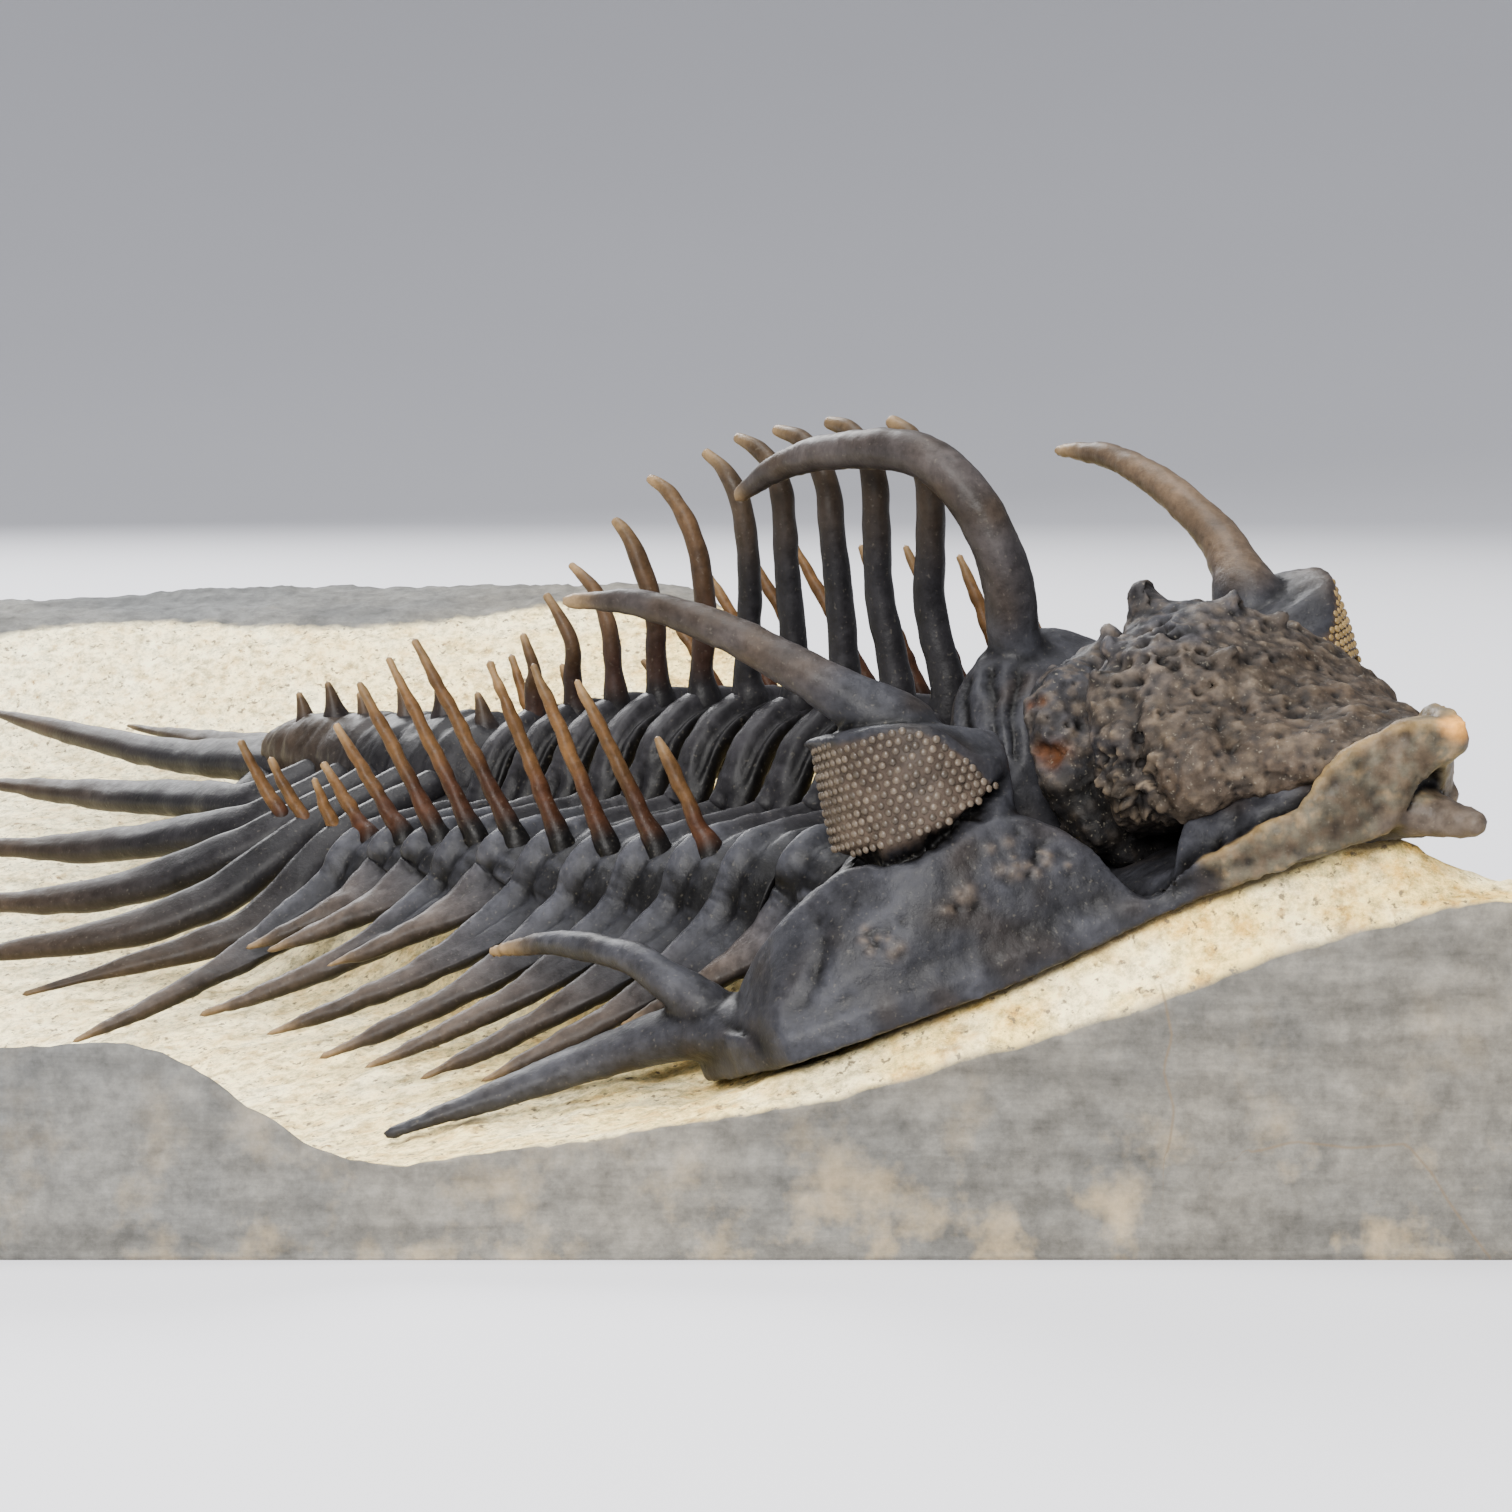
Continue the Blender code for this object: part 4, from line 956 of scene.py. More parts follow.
AXIAL_SPINE = {
    2: [(-2.5, 9.6), (-2.3, 12.5), (-2.9, 13.9), (-3.9, 14.4)],
    3: [(-4.4, 9.8), (-4.4, 12.8), (-5.2, 13.9), (-6.4, 14.1)],
    4: [(-6.0, 10.2), (-6.3, 12.6), (-7.2, 13.5), (-8.5, 13.7)],
    5: [(-7.9, 10.0), (-8.0, 12.2), (-8.8, 13.1), (-9.9, 13.4)],
    6: [(-9.4, 9.2), (-9.4, 11.4), (-10.0, 12.5), (-10.8, 13.0)],
    7: [(-11.3, 8.6), (-11.6, 10.5), (-12.4, 11.6), (-13.3, 12.0)],
    8: [(-13.6, 8.0), (-14.0, 9.4), (-14.5, 10.2), (-15.0, 10.6)],
    9: [(-15.7, 7.2), (-16.2, 8.3), (-17.2, 9.0)],
    10: [(-17.5, 6.4), (-17.9, 7.2), (-18.5, 7.9)],
    11: [(-19.4, 5.4), (-19.8, 6.5)],
}
AXIAL_RADIUS = 0.47
AXIAL_TAPER = 0.024
AXIAL_SIDE = {2: 0.5, 3: 0.6, 4: 0.6, 5: 0.4}
AXIAL_ROOT = [(0.0, -0.9, 2.3), (0.05, -0.2, 1.5), (0.1, 0.6, 1.08)]
LANE = 0.12
GAP_SHADE_DEPTH = 0.42
HINGE_SHAFT = [(0.25, 0.20, 0.25), (0.5, 0.45, 0.205), (0.75, 0.72, 0.18), (1.0, 1.0, 0.10)]
HINGE_TIP = {
    3: (-5.6, 7.2, 7.4), 4: (-8.4, 7.4, 8.6), 5: (-10.4, 7.2, 8.7), 6: (-12.3, 7.2, 8.5),
    7: (-15.6, 7.2, 8.7), 8: (-17.2, 7.0, 7.9), 9: (-18.9, 6.9, 6.9), 10: (-20.6, 6.7, 5.3),
    11: (-21.9, 6.4, 3.8),
}


def toward(start, tip, shares):
    """A point between two, with a share of the way for each axis."""
    return tuple(a + (b - a) * share for a, b, share in zip(start, tip, shares))


def ring_rows(index):
    """Half a ring from crest to blade tip: x, y, z, half width, half height."""
    x = -RING_PITCH * index
    axis = 3.1 - 0.07 * index
    low = HINGE_Z[index] - 0.1
    rows = [(x, 0.0, CREST[index] - 0.58, 0.66, 0.58), (x, axis * 0.6, CREST[index] - 1.08, 0.66, 0.56),
            (x, axis, low + 0.3, 0.72, 0.5), (x - 0.03, axis + 0.6, low, 0.78, 0.5),
            (x - 0.2, HINGE_Y[index], HINGE_Z[index], 0.92, 0.55)]
    tip = BLADE_TIP[index]
    start = (x - 0.2, HINGE_Y[index], HINGE_Z[index])
    for step, half, thick in BLADE_STEPS:
        shares = (step ** BLADE_SWEEP, step, step ** BLADE_DROP)
        rows.append(toward(start, tip, shares) + (half, thick))
    return rows


def ring_section(s, a, b):
    """Raises the rear band of a ring and sinks its front facet beyond the hinge line."""
    out = np.abs(2.0 * s - 1.0)
    top = np.clip(b, 0.0, 1.0)
    pleura = onset(out, 0.17, 0.05) * fade(out, 0.80, 0.22)
    outer = onset(out, 0.40, 0.06) * fade(out, 0.86, 0.2)
    axis = 1.0 - onset(out, 0.14, 0.05)
    band = hump(a + 0.55, 0.26)
    groove = hump(a - 0.10, 0.22)
    front = np.clip(a + 0.15, 0.0, 1.2)
    rise = top * (pleura * (0.35 * band - 0.35 * groove) - outer * (0.75 * front)
                  - axis * 0.55 * hump(a - 0.62, 0.22))
    return a, b + rise


def spine_colour(amber, dark_root=0.35):
    """Dark red root, amber shaft and pale tip; amber runs from 0 (dark spine) to 1."""
    def colour(s):
        shade = blend(BLACK * 1.5, RUST, onset(s, 0.12, 0.14))
        shade = blend(shade, AMBER, onset(s, dark_root, 0.22))
        shade = blend(shade, PALE, onset(s, 0.76, 0.24) * 0.5)
        dark = blend(CHARCOAL, BROWN, onset(s, 0.45, 0.4))
        dark = blend(dark, PALE, onset(s, 0.86, 0.14) * 0.55)
        return dark * (1.0 - amber) + shade * amber
    return colour


def ring_colour(s):
    out = np.abs(2.0 * s - 1.0)
    shade = blend(CHARCOAL, SLATE * 0.9, onset(out, 0.36, 0.08))
    shade = blend(shade, BROWN, onset(out, 0.60, 0.25) * 0.6)
    return blend(shade, PALE * 0.6, onset(out, 0.93, 0.07) * 0.5)


def paint_gap_shade_and_crest_highlight(mesh):
    """Paints shade on the flanks of a strip, where they drop into the gaps, and a highlight on its crest."""
    co = points_of(mesh)
    lane = np.rint(co[:, 1] / LANE).astype(int)
    lane -= lane.min()
    top = np.full(lane.max() + 1, -99.0)
    np.maximum.at(top, lane, co[:, 2])
    sunk = top[lane] - co[:, 2]
    paint = np.empty(len(co) * 4, np.float32)
    mesh.attributes["paint"].data.foreach_get("color", paint)
    shade = paint.reshape(-1, 4)[:, :3] * (1.0 + 0.7 * fade(sunk, 0.16, 0.16))[:, None]
    set_paint(mesh, blend(shade, BLACK, onset(sunk, 0.14, GAP_SHADE_DEPTH) * 0.9))


for number in range(1, 12):
    index = number - 1
    half_rows = ring_rows(index)
    whole_rows = [(r[0], -r[1], r[2], r[3], r[4]) for r in reversed(half_rows[1:])] + half_rows
    strip = tube("ring", whole_rows, 240, 40, section=ring_section, colour=ring_colour)
    roughen(strip, 0.05, 1.3, number)
    roughen(strip, 0.03, 3.4, number + 50.0)
    paint_gap_shade_and_crest_highlight(strip)
    shells = [strip]
    x = -RING_PITCH * index
    if number in AXIAL_SPINE:
        lean = AXIAL_SIDE.get(number, 0.0)
        radius = AXIAL_RADIUS - AXIAL_TAPER * index
        rows = [(x, lean * side, CREST[index] + lift, radius * swell)
                for side, lift, swell in AXIAL_ROOT]
        stops = AXIAL_SPINE[number]
        for count, (px, pz) in enumerate(stops):
            done = (count + 1) / len(stops)
            rows.append((px, lean * done, pz, radius * (1.0 - 0.6 * done ** 2)))
        shells.append(tube("axial_spine", rows, 90, 20, (0.0, 1.0, 0.0),
                           colour=spine_colour(0.0 if number < 7 else 0.45)))
        roughen(shells[-1], 0.045, 1.6, number + 20.0)
    if number in HINGE_TIP:
        tip = HINGE_TIP[number]
        root = (x - 0.2, HINGE_Y[index], HINGE_Z[index])
        for hand in SIDES:
            rows = [(root[0] + 0.05, root[1], root[2] - 0.3, 0.8), (root[0], root[1], root[2] + 0.25, 0.4)]
            for up, out, size in HINGE_SHAFT:
                rows.append(toward(root, tip, (out, out, up)) + (size,))
            shells.append(tube("hinge_spine", mirrored(rows, hand), 70, 18, (0.0, 1.0, 0.0),
                               colour=spine_colour(1.0)))
            roughen(shells[-1], 0.05, 2.2, number * 3.0 + hand)
    ring = gather("thorax_ring_%02d" % number, shells)
    finish_piece(ring, SHELL, "thorax_segment_%02d" % number)

# The tail shield is one plate of the same shell, with a ringed axis that bears small knobs, five
# pairs of long blades, an end point and small upright spines on its hinge lines.
TAIL_AXIS = [(-20.6, 0.0, 1.5, 2.6, 2.4), (-22.5, 0.0, 1.35, 2.45, 2.25), (-24.5, 0.0, 1.2, 2.25, 2.05),
             (-28.5, 0.0, 1.05, 1.75, 1.6), (-31.5, 0.0, 0.95, 1.3, 1.2), (-33.8, 0.0, 0.5, 0.8, 0.7)]
TAIL_KNOBS = [(-22.2, 4.3), (-24.2, 4.5), (-26.2, 3.9), (-28.4, 3.4), (-30.1, 3.5), (-31.8, 2.9)]
TAIL_RIM = [(-20.7, 6.2, 1.2), (-23.6, 5.9, 0.8), (-26.6, 5.3, 0.35), (-29.6, 4.5, 0.0), (-32.4, 3.2, -0.2),
            (-34.4, 1.4, -0.3)]
TAIL_BLADES = [
    [(-21.9, 2.0, 2.0), (-22.2, 5.9, 1.1), (-22.5, 8.4, -0.4), (-23.3, 10.2, -1.0), (-26.7, 14.8, -1.9)],
    [(-23.7, 1.9, 1.8), (-24.2, 5.6, 0.9), (-25.5, 8.6, -0.6), (-27.8, 11.4, -1.4), (-32.5, 14.7, -2.1)],
    [(-25.6, 1.7, 1.5), (-26.2, 5.2, 0.6), (-28.6, 7.6, -0.6), (-32.0, 9.6, -1.5), (-37.6, 11.8, -2.1)],
    [(-27.5, 1.4, 1.2), (-28.4, 4.4, 0.3), (-31.8, 5.4, -0.6), (-36.5, 6.6, -1.5), (-43.5, 8.4, -2.1)],
    [(-29.5, 1.1, 0.9), (-30.6, 3.3, 0.2), (-34.6, 3.0, -0.5), (-41.0, 3.2, -1.3), (-49.0, 3.8, -1.9)],
]
TAIL_THICK = 0.8
BLADE_SIZE = [(0.5, 0.45), (0.62, 0.55), (0.82, 0.55), (0.62, 0.42), (0.06, 0.05)]
TAIL_POINT = [(-31.0, 0.0, 0.6, 1.3, 0.9), (-35.5, 0.1, -0.1, 1.0, 0.65), (-40.5, 0.3, -0.8, 0.75, 0.5),
              (-47.0, 0.5, -1.1, 0.5, 0.36), (-54.6, 0.9, -1.3, 0.07, 0.05)]
TAIL_SPINES = [((-22.2, 5.9, 1.0), (-22.9, 6.1, 3.1)), ((-24.2, 5.6, 0.9), (-25.4, 5.9, 3.3)),
               ((-26.2, 5.2, 0.8), (-27.5, 5.5, 3.4))]


def blade_colour(s):
    shade = blend(CHARCOAL, BROWN, onset(s, 0.35, 0.5) * 0.6)
    return blend(shade, PALE * 0.55, onset(s, 0.93, 0.07) * 0.5)


def blade_section(s, a, b):
    """A blade with a rounded rib towards its upper edge."""
    return a, b * (1.0 + 0.25 * hump(a - 0.2, 0.35) * (b > 0))


def tail_field():
    mesh, s, t = unit_sheet("tail_field", 70, 60)
    rim = flow(TAIL_RIM, 71)
    at = rim[np.rint(s * 70).astype(int)]
    across = 2.0 * t - 1.0
    rise = 0.9 * (1.0 - np.abs(across)) + 0.12 * np.cos(at[:, 0] * math.pi * 2.0 / 1.96)
    move_points(mesh, np.column_stack([at[:, 0], across * at[:, 1], at[:, 2] + rise]))
    with editing(mesh) as bm:
        bmesh.ops.recalc_face_normals(bm, faces=bm.faces)
        bmesh.ops.solidify(bm, geom=bm.faces[:], thickness=TAIL_THICK)
    # The field is painted darker than the rest of the shell, as painted shade in the webs between the blades.
    set_paint(mesh, CHARCOAL * 0.55)
    return mesh


def axis_section(s, a, b):
    rings = 1.0 - 0.07 * hump(np.sin(s * math.pi * 6.0), 0.35)
    return a * rings, b * rings


shells = [tail_field(), tube("tail_axis", TAIL_AXIS, 160, 48, section=axis_section, colour=blade_colour)]
roughen(shells[1], 0.09, 1.3, 5.0)
roughen(shells[1], 0.05, 3.5, 7.0)
for x, z in TAIL_KNOBS:
    shells.append(tube("knob", [(x + 0.15, 0.0, z - 1.9, 0.9), (x + 0.05, 0.0, z - 0.95, 0.36),
                                (x - 0.05, 0.0, z - 0.4, 0.19), (x - 0.2, 0.0, z, 0.08)],
                       24, 16, (0.0, 1.0, 0.0), colour=spine_colour(0.1)))
for hand in SIDES:
    for count, line in enumerate(TAIL_BLADES):
        rows = [p + size for p, size in zip(line, BLADE_SIZE)]
        shells.append(tube("blade", mirrored(rows, hand), 130, 24, section=blade_section,
                           colour=blade_colour))
        roughen(shells[-1], 0.07, 0.9, count + 40.0 * hand)
    for count, (root, tip) in enumerate(TAIL_SPINES):
        rows = [(root[0], root[1], root[2] - 0.3, 0.6), (root[0], root[1], root[2] + 0.3, 0.28),
                toward(root, tip, (0.5, 0.5, 0.5)) + (0.20,), tip + (0.10,)]
        shells.append(tube("tail_spine", mirrored(rows, hand), 40, 16, (0.0, 1.0, 0.0),
                           colour=spine_colour(1.0, 0.2)))
        roughen(shells[-1], 0.05, 2.2, count * 7.0 + hand)
shells.append(tube("tail_point", TAIL_POINT, 130, 24, section=blade_section, colour=blade_colour))
roughen(shells[-1], 0.07, 0.9, 90.0)
tail = gather("tail_shield", shells)
finish_piece(tail, SHELL, "pygidium")

# The slab is limestone: cream where it was air-abraded away around the animal, grey where the
# old surface is left. It is broken off steeply at its edges and cut flat underneath.
SLAB_SHIFT = (13.5, -18.95, 0.0)
TO_SLAB = Matrix.Translation(SLAB_SHIFT).inverted()
NEAR_Y = -12.6
LEFT_X = -47.0
RIGHT_X = 20.0
FAR_EDGE = [(-47.0, 49.0), (-24.5, 50.5), (-10.0, 48.0), (-4.0, 38.0), (4.0, 29.0), (12.0, 20.0), (20.0, 7.0)]
NEAR_TOP = [(-47.0, 5.11), (-25.5, 4.95), (-22.5, 5.05), (-21.0, 4.8), (-18.8, 3.56), (-17.2, 2.62),
            (-15.3, 2.36), (-11.8, 2.62), (-8.4, 3.14), (-4.9, 3.87), (-1.4, 4.8), (0.9, 5.52),
            (3.2, 6.23), (5.5, 7.05), (7.8, 7.66), (10.4, 8.26), (20.0, 8.16)]
FLOOR = [(-60.0, -2.9), (-30.0, -2.9), (-20.0, -2.3), (-10.0, -1.2), (0.0, 0.4), (3.0, 1.6), (6.0, 3.0),
         (9.0, 4.75), (12.0, 6.1), (13.5, 6.35), (15.2, 6.0), (18.0, 6.1), (30.0, 6.6)]
CORE = [(-36.0, -2.9), (-30.0, -1.4), (-20.0, 0.2), (-10.0, 2.0), (-1.5, 3.2), (-0.3, 0.0)]
SLAB_COLUMNS = 316
SLAB_ROWS = 300
NEAR_ROWS = 36
FAR_ROWS = 10
SIDE_COLUMNS = 10
WALL_SLOPE = 0.10
EDGE_BLEND = [(-22.0, 5.0), (-14.0, 4.0), (-8.0, 1.5), (20.0, 1.8)]
RIGHT_CREST = [(-6.0, 40.0), (3.0, 14.0), (7.0, 11.0), (9.0, 9.7), (10.5, 9.1), (20.0, 8.3)]
RIGHT_FALL = 0.17
FAR_BANK = [(-47.0, 4.6), (-30.0, 3.6), (-12.0, 2.7)]
FAR_BANK_START = 38.0
CORE_HALF_WIDTH = 4.5
FAR_DIP = 2.6
SIDE_INSET = 0.9
LOWEST_TOP = 0.9
CREAM_FAR = 44.3
SHADE_REACH = 0.35
TUCK = 0.15
CRACK_WIDTH = 0.12
CRACKS = [[(2.45, 6.4), (2.7, 5.2), (2.5, 4.4), (2.75, 3.5), (2.6, 2.5)],
          [(4.6, 2.5), (5.6, 2.75), (6.9, 2.6), (8.2, 2.7), (8.8, 2.0), (9.15, 1.4), (9.5, 0.9), (10.1, 0.1)]]


def rough(points, scale, octaves, seed):
    lift = np.zeros(len(points))
    for row, p in enumerate(points.tolist()):
        lift[row] = noise.fractal(Vector(p) * scale + Vector((seed, 0.0, 0.0)), 0.9, 2.1, octaves)
    return lift


def slab_ground(x, y):
    """Height of the rock: the abraded floor follows the animal and rises to a core under it."""
    spot = np.column_stack([x, y, np.full(len(x), 4.0), np.ones(len(x))])
    on_slab = np.array(TO_SLAB @ LAY_ON_SLAB)
    body = spot @ np.linalg.inv(on_slab).T
    across = np.abs(body[:, 1])
    floor = np.interp(body[:, 0], *zip(*FLOOR))
    core = np.interp(body[:, 0], *zip(*CORE))
    inside = (body[:, 0] > CORE[0][0]) & (body[:, 0] < CORE[-1][0])
    floor = np.where(inside, core + (floor - core) * onset(across, CORE_HALF_WIDTH, CORE_HALF_WIDTH), floor)
    body[:, 2] = floor
    top = (body @ on_slab.T)[:, 2]
    top -= FAR_DIP * onset(body[:, 1], 6.0, 8.0) * onset(body[:, 0], -6.0, 8.0)
    top += np.interp(x, *zip(*FAR_BANK)) * onset(y, FAR_BANK_START, 8.0)
    return np.minimum(top, np.interp(x, *zip(*RIGHT_CREST)) - RIGHT_FALL * (y - NEAR_Y))


def crack_distance(x, z):
    """Signed distance to the nearest crack line, so that a thin line reads between grid points."""
    best = np.full(len(x), 9.0)
    for line in CRACKS:
        for (ax, az), (bx, bz) in zip(line, line[1:]):
            span = np.array([bx - ax, bz - az])
            share = np.clip(((x - ax) * span[0] + (z - az) * span[1]) / (span @ span), 0.0, 1.0)
            dx = x - ax - share * span[0]
            dz = z - az - share * span[1]
            side = np.where(span[0] * dz - span[1] * dx >= 0.0, 1.0, -1.0)
            gap = np.hypot(dx, dz)
            best = np.where(gap < np.abs(best), gap * side, best)
    return best


mesh, s, t = unit_sheet("rock_slab", SLAB_COLUMNS, SLAB_ROWS)
column = np.rint(s * SLAB_COLUMNS)
row = np.rint(t * SLAB_ROWS)
inner_column = np.clip((column - SIDE_COLUMNS) / (SLAB_COLUMNS - 2.0 * SIDE_COLUMNS), 0.0, 1.0)
inner_row = np.clip((row - NEAR_ROWS) / (SLAB_ROWS - NEAR_ROWS - FAR_ROWS), 0.0, 1.0)
up_near = np.clip(row / NEAR_ROWS, 0.0, 1.0)
up_far = np.clip((SLAB_ROWS - row) / FAR_ROWS, 0.0, 1.0)
up_left = np.clip(column / SIDE_COLUMNS, 0.0, 1.0)
up_right = np.clip((SLAB_COLUMNS - column) / SIDE_COLUMNS, 0.0, 1.0)
up_wall = np.minimum.reduce([up_near, up_far, up_left, up_right])
x = LEFT_X + SIDE_INSET + (RIGHT_X - LEFT_X - 2.0 * SIDE_INSET) * inner_column
edge_top = along(NEAR_TOP, x)
near = NEAR_Y + WALL_SLOPE * edge_top
far = np.interp(x, *zip(*FAR_EDGE)) - SIDE_INSET
y = near + (far - near) * inner_row
ground = slab_ground(x, y)
blend_width = np.interp(x, *zip(*EDGE_BLEND))
top = edge_top + (ground - edge_top) * np.clip((y - near) / blend_width, 0.0, 1.0)
top = np.maximum(top, LOWEST_TOP)
pitted = np.column_stack([x, y, top])
top += 0.20 * rough(pitted, 0.16, 4, 3.0) + 0.10 * rough(pitted, 1.1, 4, 9.0)
abraded = onset(row, NEAR_ROWS + 1.0, 3.0)
top += abraded * (0.055 * rough(pitted, 3.1, 3, 31.0) - 0.10)

# Under the shell the rock ends just inside its lower skin, and a painted contact shadow darkens it where they
# touch
shell_meshes = [obj.data for obj in (head, glabella, tail)]
shell_meshes += [obj.data for obj in bpy.data.objects if obj.name.startswith("thorax_ring_")]
bm = bmesh.new()
for part in shell_meshes:
    bm.from_mesh(part)
bmesh.ops.transform(bm, verts=bm.verts, matrix=TO_SLAB @ Matrix.Scale(1.0 / MM, 4))
shell_tree = BVHTree.FromBMesh(bm)
bm.free()
under = np.zeros(len(x))
for spot in np.flatnonzero(up_wall >= 1.0):
    hit = shell_tree.ray_cast(Vector((x[spot], y[spot], -6.0)), Vector((0.0, 0.0, 1.0)))
    if hit[0] is not None:
        under[spot] = 1.0 - min(max((hit[0].z - top[spot]) / SHADE_REACH, 0.0), 1.0)
        top[spot] = min(top[spot], hit[0].z + TUCK)
z = np.where(up_wall < 1.0, top * up_wall, top)
x = x + (1.0 - np.minimum(up_left, up_right)) * SIDE_INSET * np.where(up_right < 1.0, 1.0, -1.0)
y = y + (1.0 - up_far) * SIDE_INSET - (1.0 - up_near) * WALL_SLOPE * edge_top
wall = np.column_stack([x, y, z])
broken = (up_wall < 1.0) & (up_wall > 0.0)
bite = np.zeros(len(x))
swell = np.abs(0.20 * rough(wall[broken], 0.45, 5, 21.0))
bite[broken] = swell * np.sin(math.pi * up_wall[broken]) ** 0.5
crack = crack_distance(x, z)
bite += 0.08 * hump(crack, CRACK_WIDTH) * broken
y = y + bite * (up_near < 1.0) - bite * (up_far < 1.0)
x = x + bite * (up_left < 1.0) - bite * (up_right < 1.0)
move_points(mesh, np.column_stack([x, y, z]))
zone = (up_wall >= 1.0) * onset(row, NEAR_ROWS + 0.2, 1.0)
zone *= 1.0 - onset(y - 0.5 * np.sin(0.35 * x), CREAM_FAR, 0.5)
crack = np.where((up_near < 1.0) | (row < NEAR_ROWS + 3), crack, 9.0)
for label, values in (("cream", zone), ("crack", crack), ("under", under)):
    layer = mesh.attributes.new(label, "FLOAT", "POINT")
    layer.data.foreach_set("value", values.astype(np.float32))
with editing(mesh) as bm:
    bmesh.ops.remove_doubles(bm, verts=bm.verts, dist=WELD)
    close_rim(bm, [edge for edge in bm.edges if edge.is_boundary])


WARM_SAND = (0.92, 0.69, 0.24)
WARM_GRAIN = (0.58, 0.34, 0.07)
WARM_PALE = (0.95, 0.84, 0.50)
COOL_SAND = (0.92, 0.87, 0.62)
COOL_GRAIN = (0.78, 0.66, 0.36)
DARK_SPECK = (0.11, 0.085, 0.06)
RUST_SPECK = (0.38, 0.22, 0.07)
GREY = (0.086, 0.088, 0.088)
LIGHT_GREY = (0.118, 0.114, 0.104)
LEFT_TINT = (0.96, 1.0, 1.05)
RIGHT_TINT = (1.06, 1.0, 0.90)
OCHRE = (0.44, 0.33, 0.18)
PALE_BROWN = (0.24, 0.20, 0.14)
CONTACT_SHADE = (0.07, 0.05, 0.03)
CRACK_SHADE = (0.12, 0.085, 0.05)
NONE = (0.0, 0.0, 0.0)


def rock_material():
    """Cream and grey rock, yellower towards the right end, with its layers lying flat."""
    surface, tree, shader, place = new_surface("limestone")
    zone = stored(tree, "cream")
    broad = noise_node(tree, place, 110.0, 6.0, 0.6)
    patch = noise_node(tree, place, 420.0, 5.0, 0.6)
    grains = noise_node(tree, place, 1500.0, 5.0, 0.7)
    sugar = noise_node(tree, place, 2300.0, 6.0, 0.8)
    rusty = noise_node(tree, place, 2900.0, 2.0, 0.5)
    specks = noise_node(tree, place, 3900.0, 3.0, 0.6)
    apart = node(tree, "SeparateXYZ")
    tree.links.new(place, apart.inputs[0])
    layered = node(tree, "Mapping")
    layered.inputs["Scale"].default_value = (0.22, 0.4, 1.7)
    tree.links.new(place, layered.inputs["Vector"])
    strata = noise_node(tree, layered.outputs["Vector"], 900.0, 5.0, 0.6)

    warm_end = node(tree, "MapRange")
    tree.links.new(apart.outputs["X"], warm_end.inputs["Value"])
    for key, value in (("From Min", -0.030), ("From Max", 0.012), ("To Min", 0.10), ("To Max", 1.0)):
        warm_end.inputs[key].default_value = value
    warmth = warm_end.outputs["Result"]

    warm = flecked(tree, WARM_SAND, WARM_GRAIN, grains, (0.46, 0.0), (0.62, 0.9))
    warm = flecked(tree, warm, WARM_PALE, patch, (0.46, 0.0), (0.62, 0.7))
    cool = flecked(tree, COOL_SAND, COOL_GRAIN, grains, (0.46, 0.0), (0.66, 0.8))
    cream = dappled(tree, mixed(tree, cool, warm, warmth), sugar, (0.36, 0.48), (0.56, 1.18))
    cream = flecked(tree, cream, DARK_SPECK, specks, (0.60, 0.0), (0.67, 0.85))
    cream = flecked(tree, cream, RUST_SPECK, rusty, (0.63, 0.0), (0.72, 0.5))

    grey = flecked(tree, GREY, LIGHT_GREY, broad, (0.38, 0.0), (0.62, 1.0))
    grey = mixed(tree, grey, mixed(tree, LEFT_TINT, RIGHT_TINT, warmth), 1.0, "MULTIPLY")
    grey = dappled(tree, grey, strata, (0.34, 0.74), (0.66, 1.24))
    grey = dappled(tree, grey, grains, (0.32, 0.66), (0.68, 1.34))
    stain = ramp(tree, patch, (0.52, 0.0), (0.68, 0.6))
    stain = flecked(tree, stain, NONE, apart.outputs["Z"], (0.002, 0.0), (0.0045, 1.0))
    grey = mixed(tree, grey, OCHRE, mixed(tree, NONE, stain, warmth))
    grey = flecked(tree, grey, PALE_BROWN, patch, (0.62, 0.0), (0.76, 0.25))
    grey = dappled(tree, grey, sugar, (0.25, 0.80), (0.75, 1.20))

    line = node(tree, "Math", operation="ABSOLUTE")
    tree.links.new(stored(tree, "crack"), line.inputs[0])
    colour = mixed(tree, grey, cream, zone)
    # Painted contact shadow where the shell rests on the rock.
    colour = flecked(tree, colour, CONTACT_SHADE, stored(tree, "under"), (0.15, 0.0), (0.6, 0.85))
    colour = flecked(tree, colour, CRACK_SHADE, line.outputs[0], (0.01, 0.6), (0.05, 0.0))
    tree.links.new(colour, shader.inputs["Base Color"])
    shader.inputs["Roughness"].default_value = 0.9
    shader.inputs["Specular IOR Level"].default_value = 0.25
    bump = node(tree, "Bump", Strength=0.9, Distance=0.00012)
    tree.links.new(mixed(tree, mixed(tree, strata, sugar, 0.35), sugar, zone), bump.inputs["Height"])
    tree.links.new(bump.outputs["Normal"], shader.inputs["Normal"])
    return surface


finish_piece(show("rock_slab", mesh), rock_material(), "matrix",
             Matrix.Translation(SLAB_SHIFT))

# The studio is a pale dish of paper that rises far off on all sides. It is lit by a broad soft
# light in front, a second one overhead and a third behind, which rims the spines.
FLAT_REACH = 0.55
DISH_REACH = 2.6
DISH_RISE = 1.5

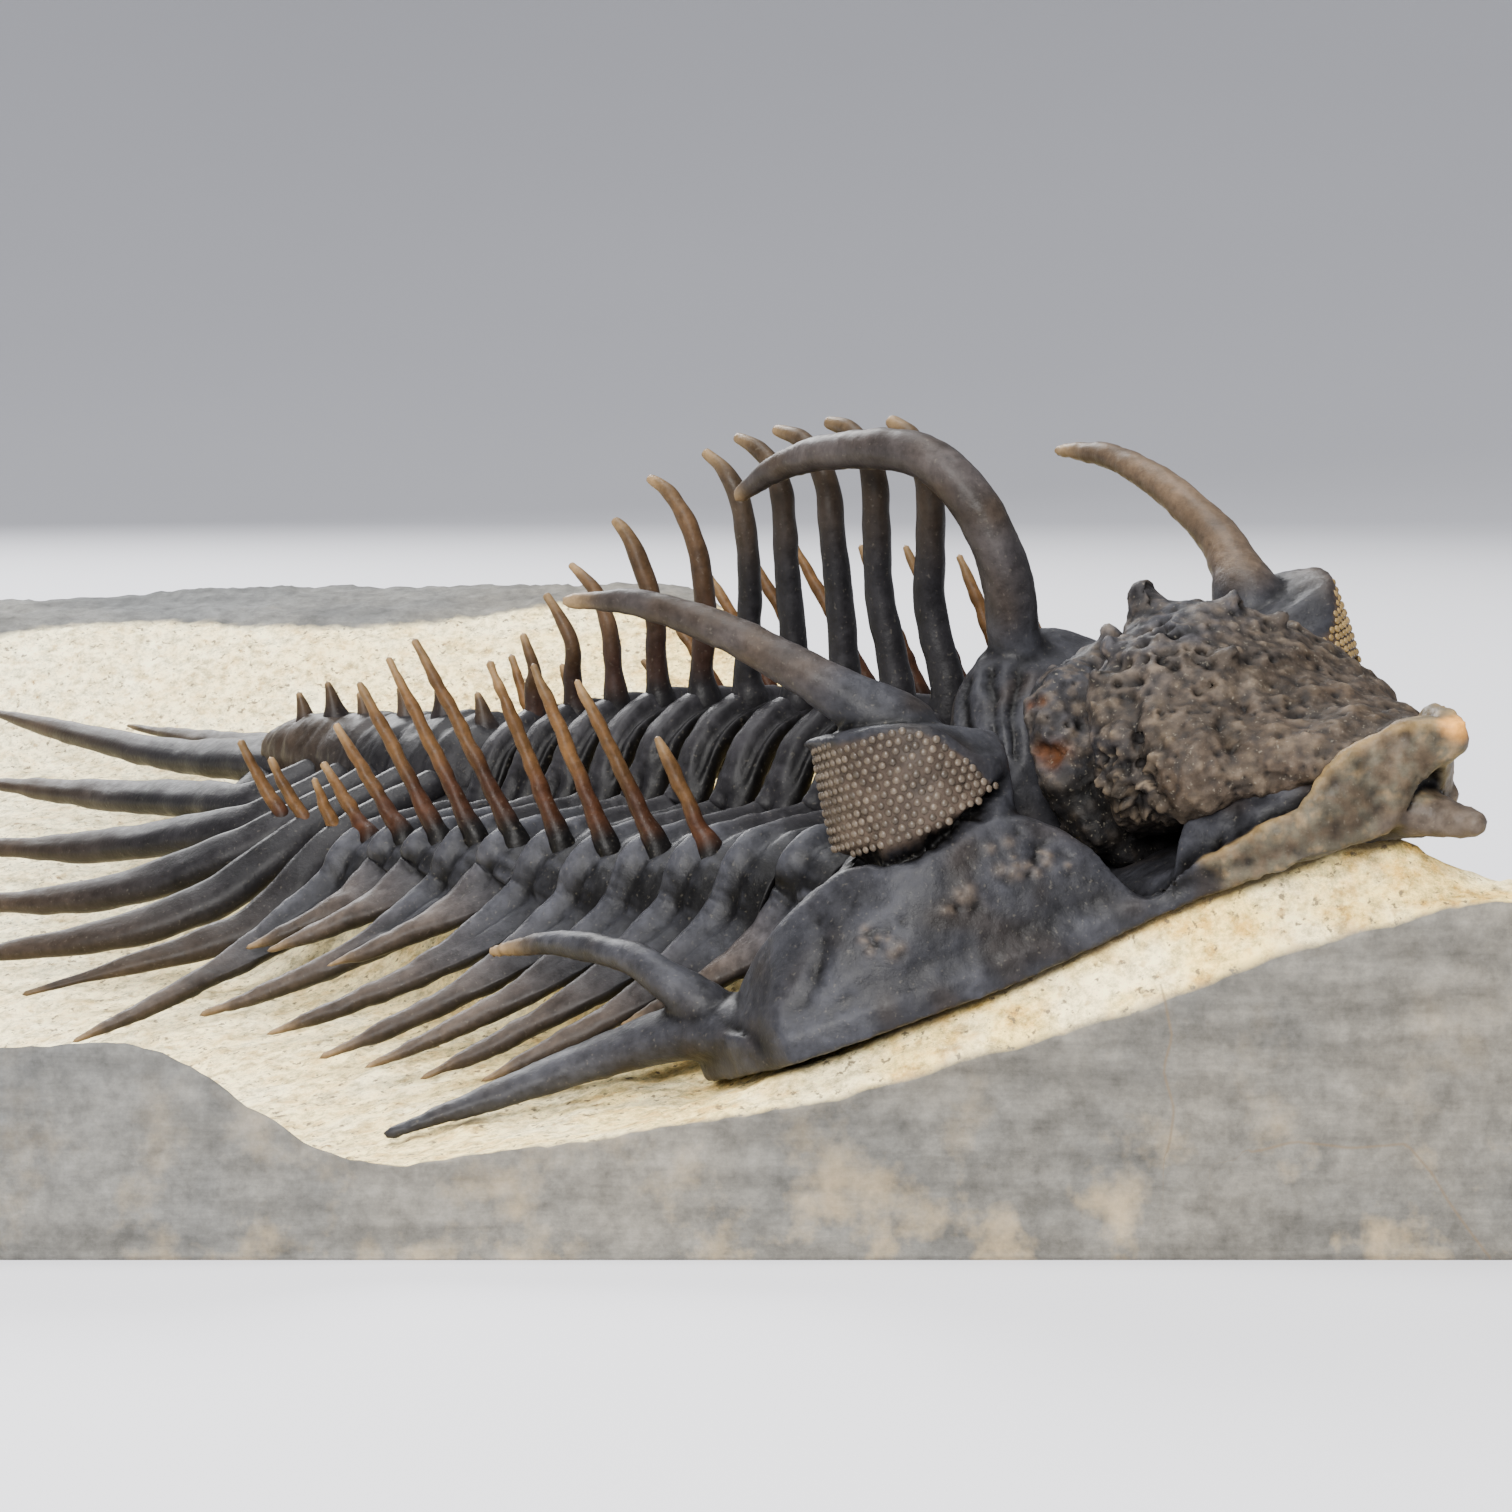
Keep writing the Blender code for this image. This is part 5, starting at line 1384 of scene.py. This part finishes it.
floor_mesh, s, t = unit_sheet("studio_floor", 96, 96)
across = (s - 0.5) * 2.0 * DISH_REACH
away = (t - 0.5) * 2.0 * DISH_REACH
reach = np.hypot(across, away)
rise = DISH_RISE * np.clip((reach - FLAT_REACH) / (DISH_REACH - FLAT_REACH), 0.0, None) ** 1.6
move_points(floor_mesh, np.column_stack([across, away, rise]))
floor_mesh.shade_smooth()
floor = show("studio_floor", floor_mesh)
paper, tree, shader, place = new_surface("studio_paper")
paper_shade = ramp(tree, noise_node(tree, place, 3.0), (0.3, (0.60, 0.60, 0.63)), (0.7, (0.63, 0.63, 0.66)))
tree.links.new(paper_shade, shader.inputs["Base Color"])
shader.inputs["Roughness"].default_value = 0.8
floor.data.materials.append(paper)

world = bpy.data.worlds.new("studio_air")
bpy.context.scene.world = world
world.use_nodes = True
world.node_tree.nodes["Background"].inputs[0].default_value = (0.82, 0.84, 0.90, 1.0)
world.node_tree.nodes["Background"].inputs[1].default_value = 0.72


def soft_light(name, place, target, size, power, colour):
    lamp = bpy.data.lights.new(name, "AREA")
    lamp.energy = power
    lamp.size = size
    lamp.color = colour
    obj = show(name, lamp)
    obj.location = place
    obj.rotation_euler = (Vector(target) - Vector(place)).to_track_quat("-Z", "Y").to_euler()


CENTRE = (0.0, -0.008, 0.010)
soft_light("key", (-0.09, -0.38, 0.19), CENTRE, 0.20, 5.0, (1.0, 0.98, 0.95))
soft_light("top", (-0.05, -0.02, 0.40), CENTRE, 0.24, 2.8, (1.0, 1.0, 1.0))
soft_light("rim", (-0.14, 0.34, 0.26), CENTRE, 0.20, 2.6, (1.0, 1.0, 1.0))

# The camera stands low in front of the slab, a little above its near edge, and looks slightly
# down. Its place and lens were worked out from the mirrored pairs of eyes, spines and blades.
camera = bpy.data.cameras.new("camera")
camera.lens = 84.46
camera.sensor_width = 36.0
camera.clip_start = 0.001
camera.clip_end = 20.0
holder = show("camera", camera)
holder.location = (0.0064284, -0.113217, 0.01974)
holder.rotation_euler = (math.radians(84.5), 0.0, 0.0)
bpy.context.scene.camera = holder
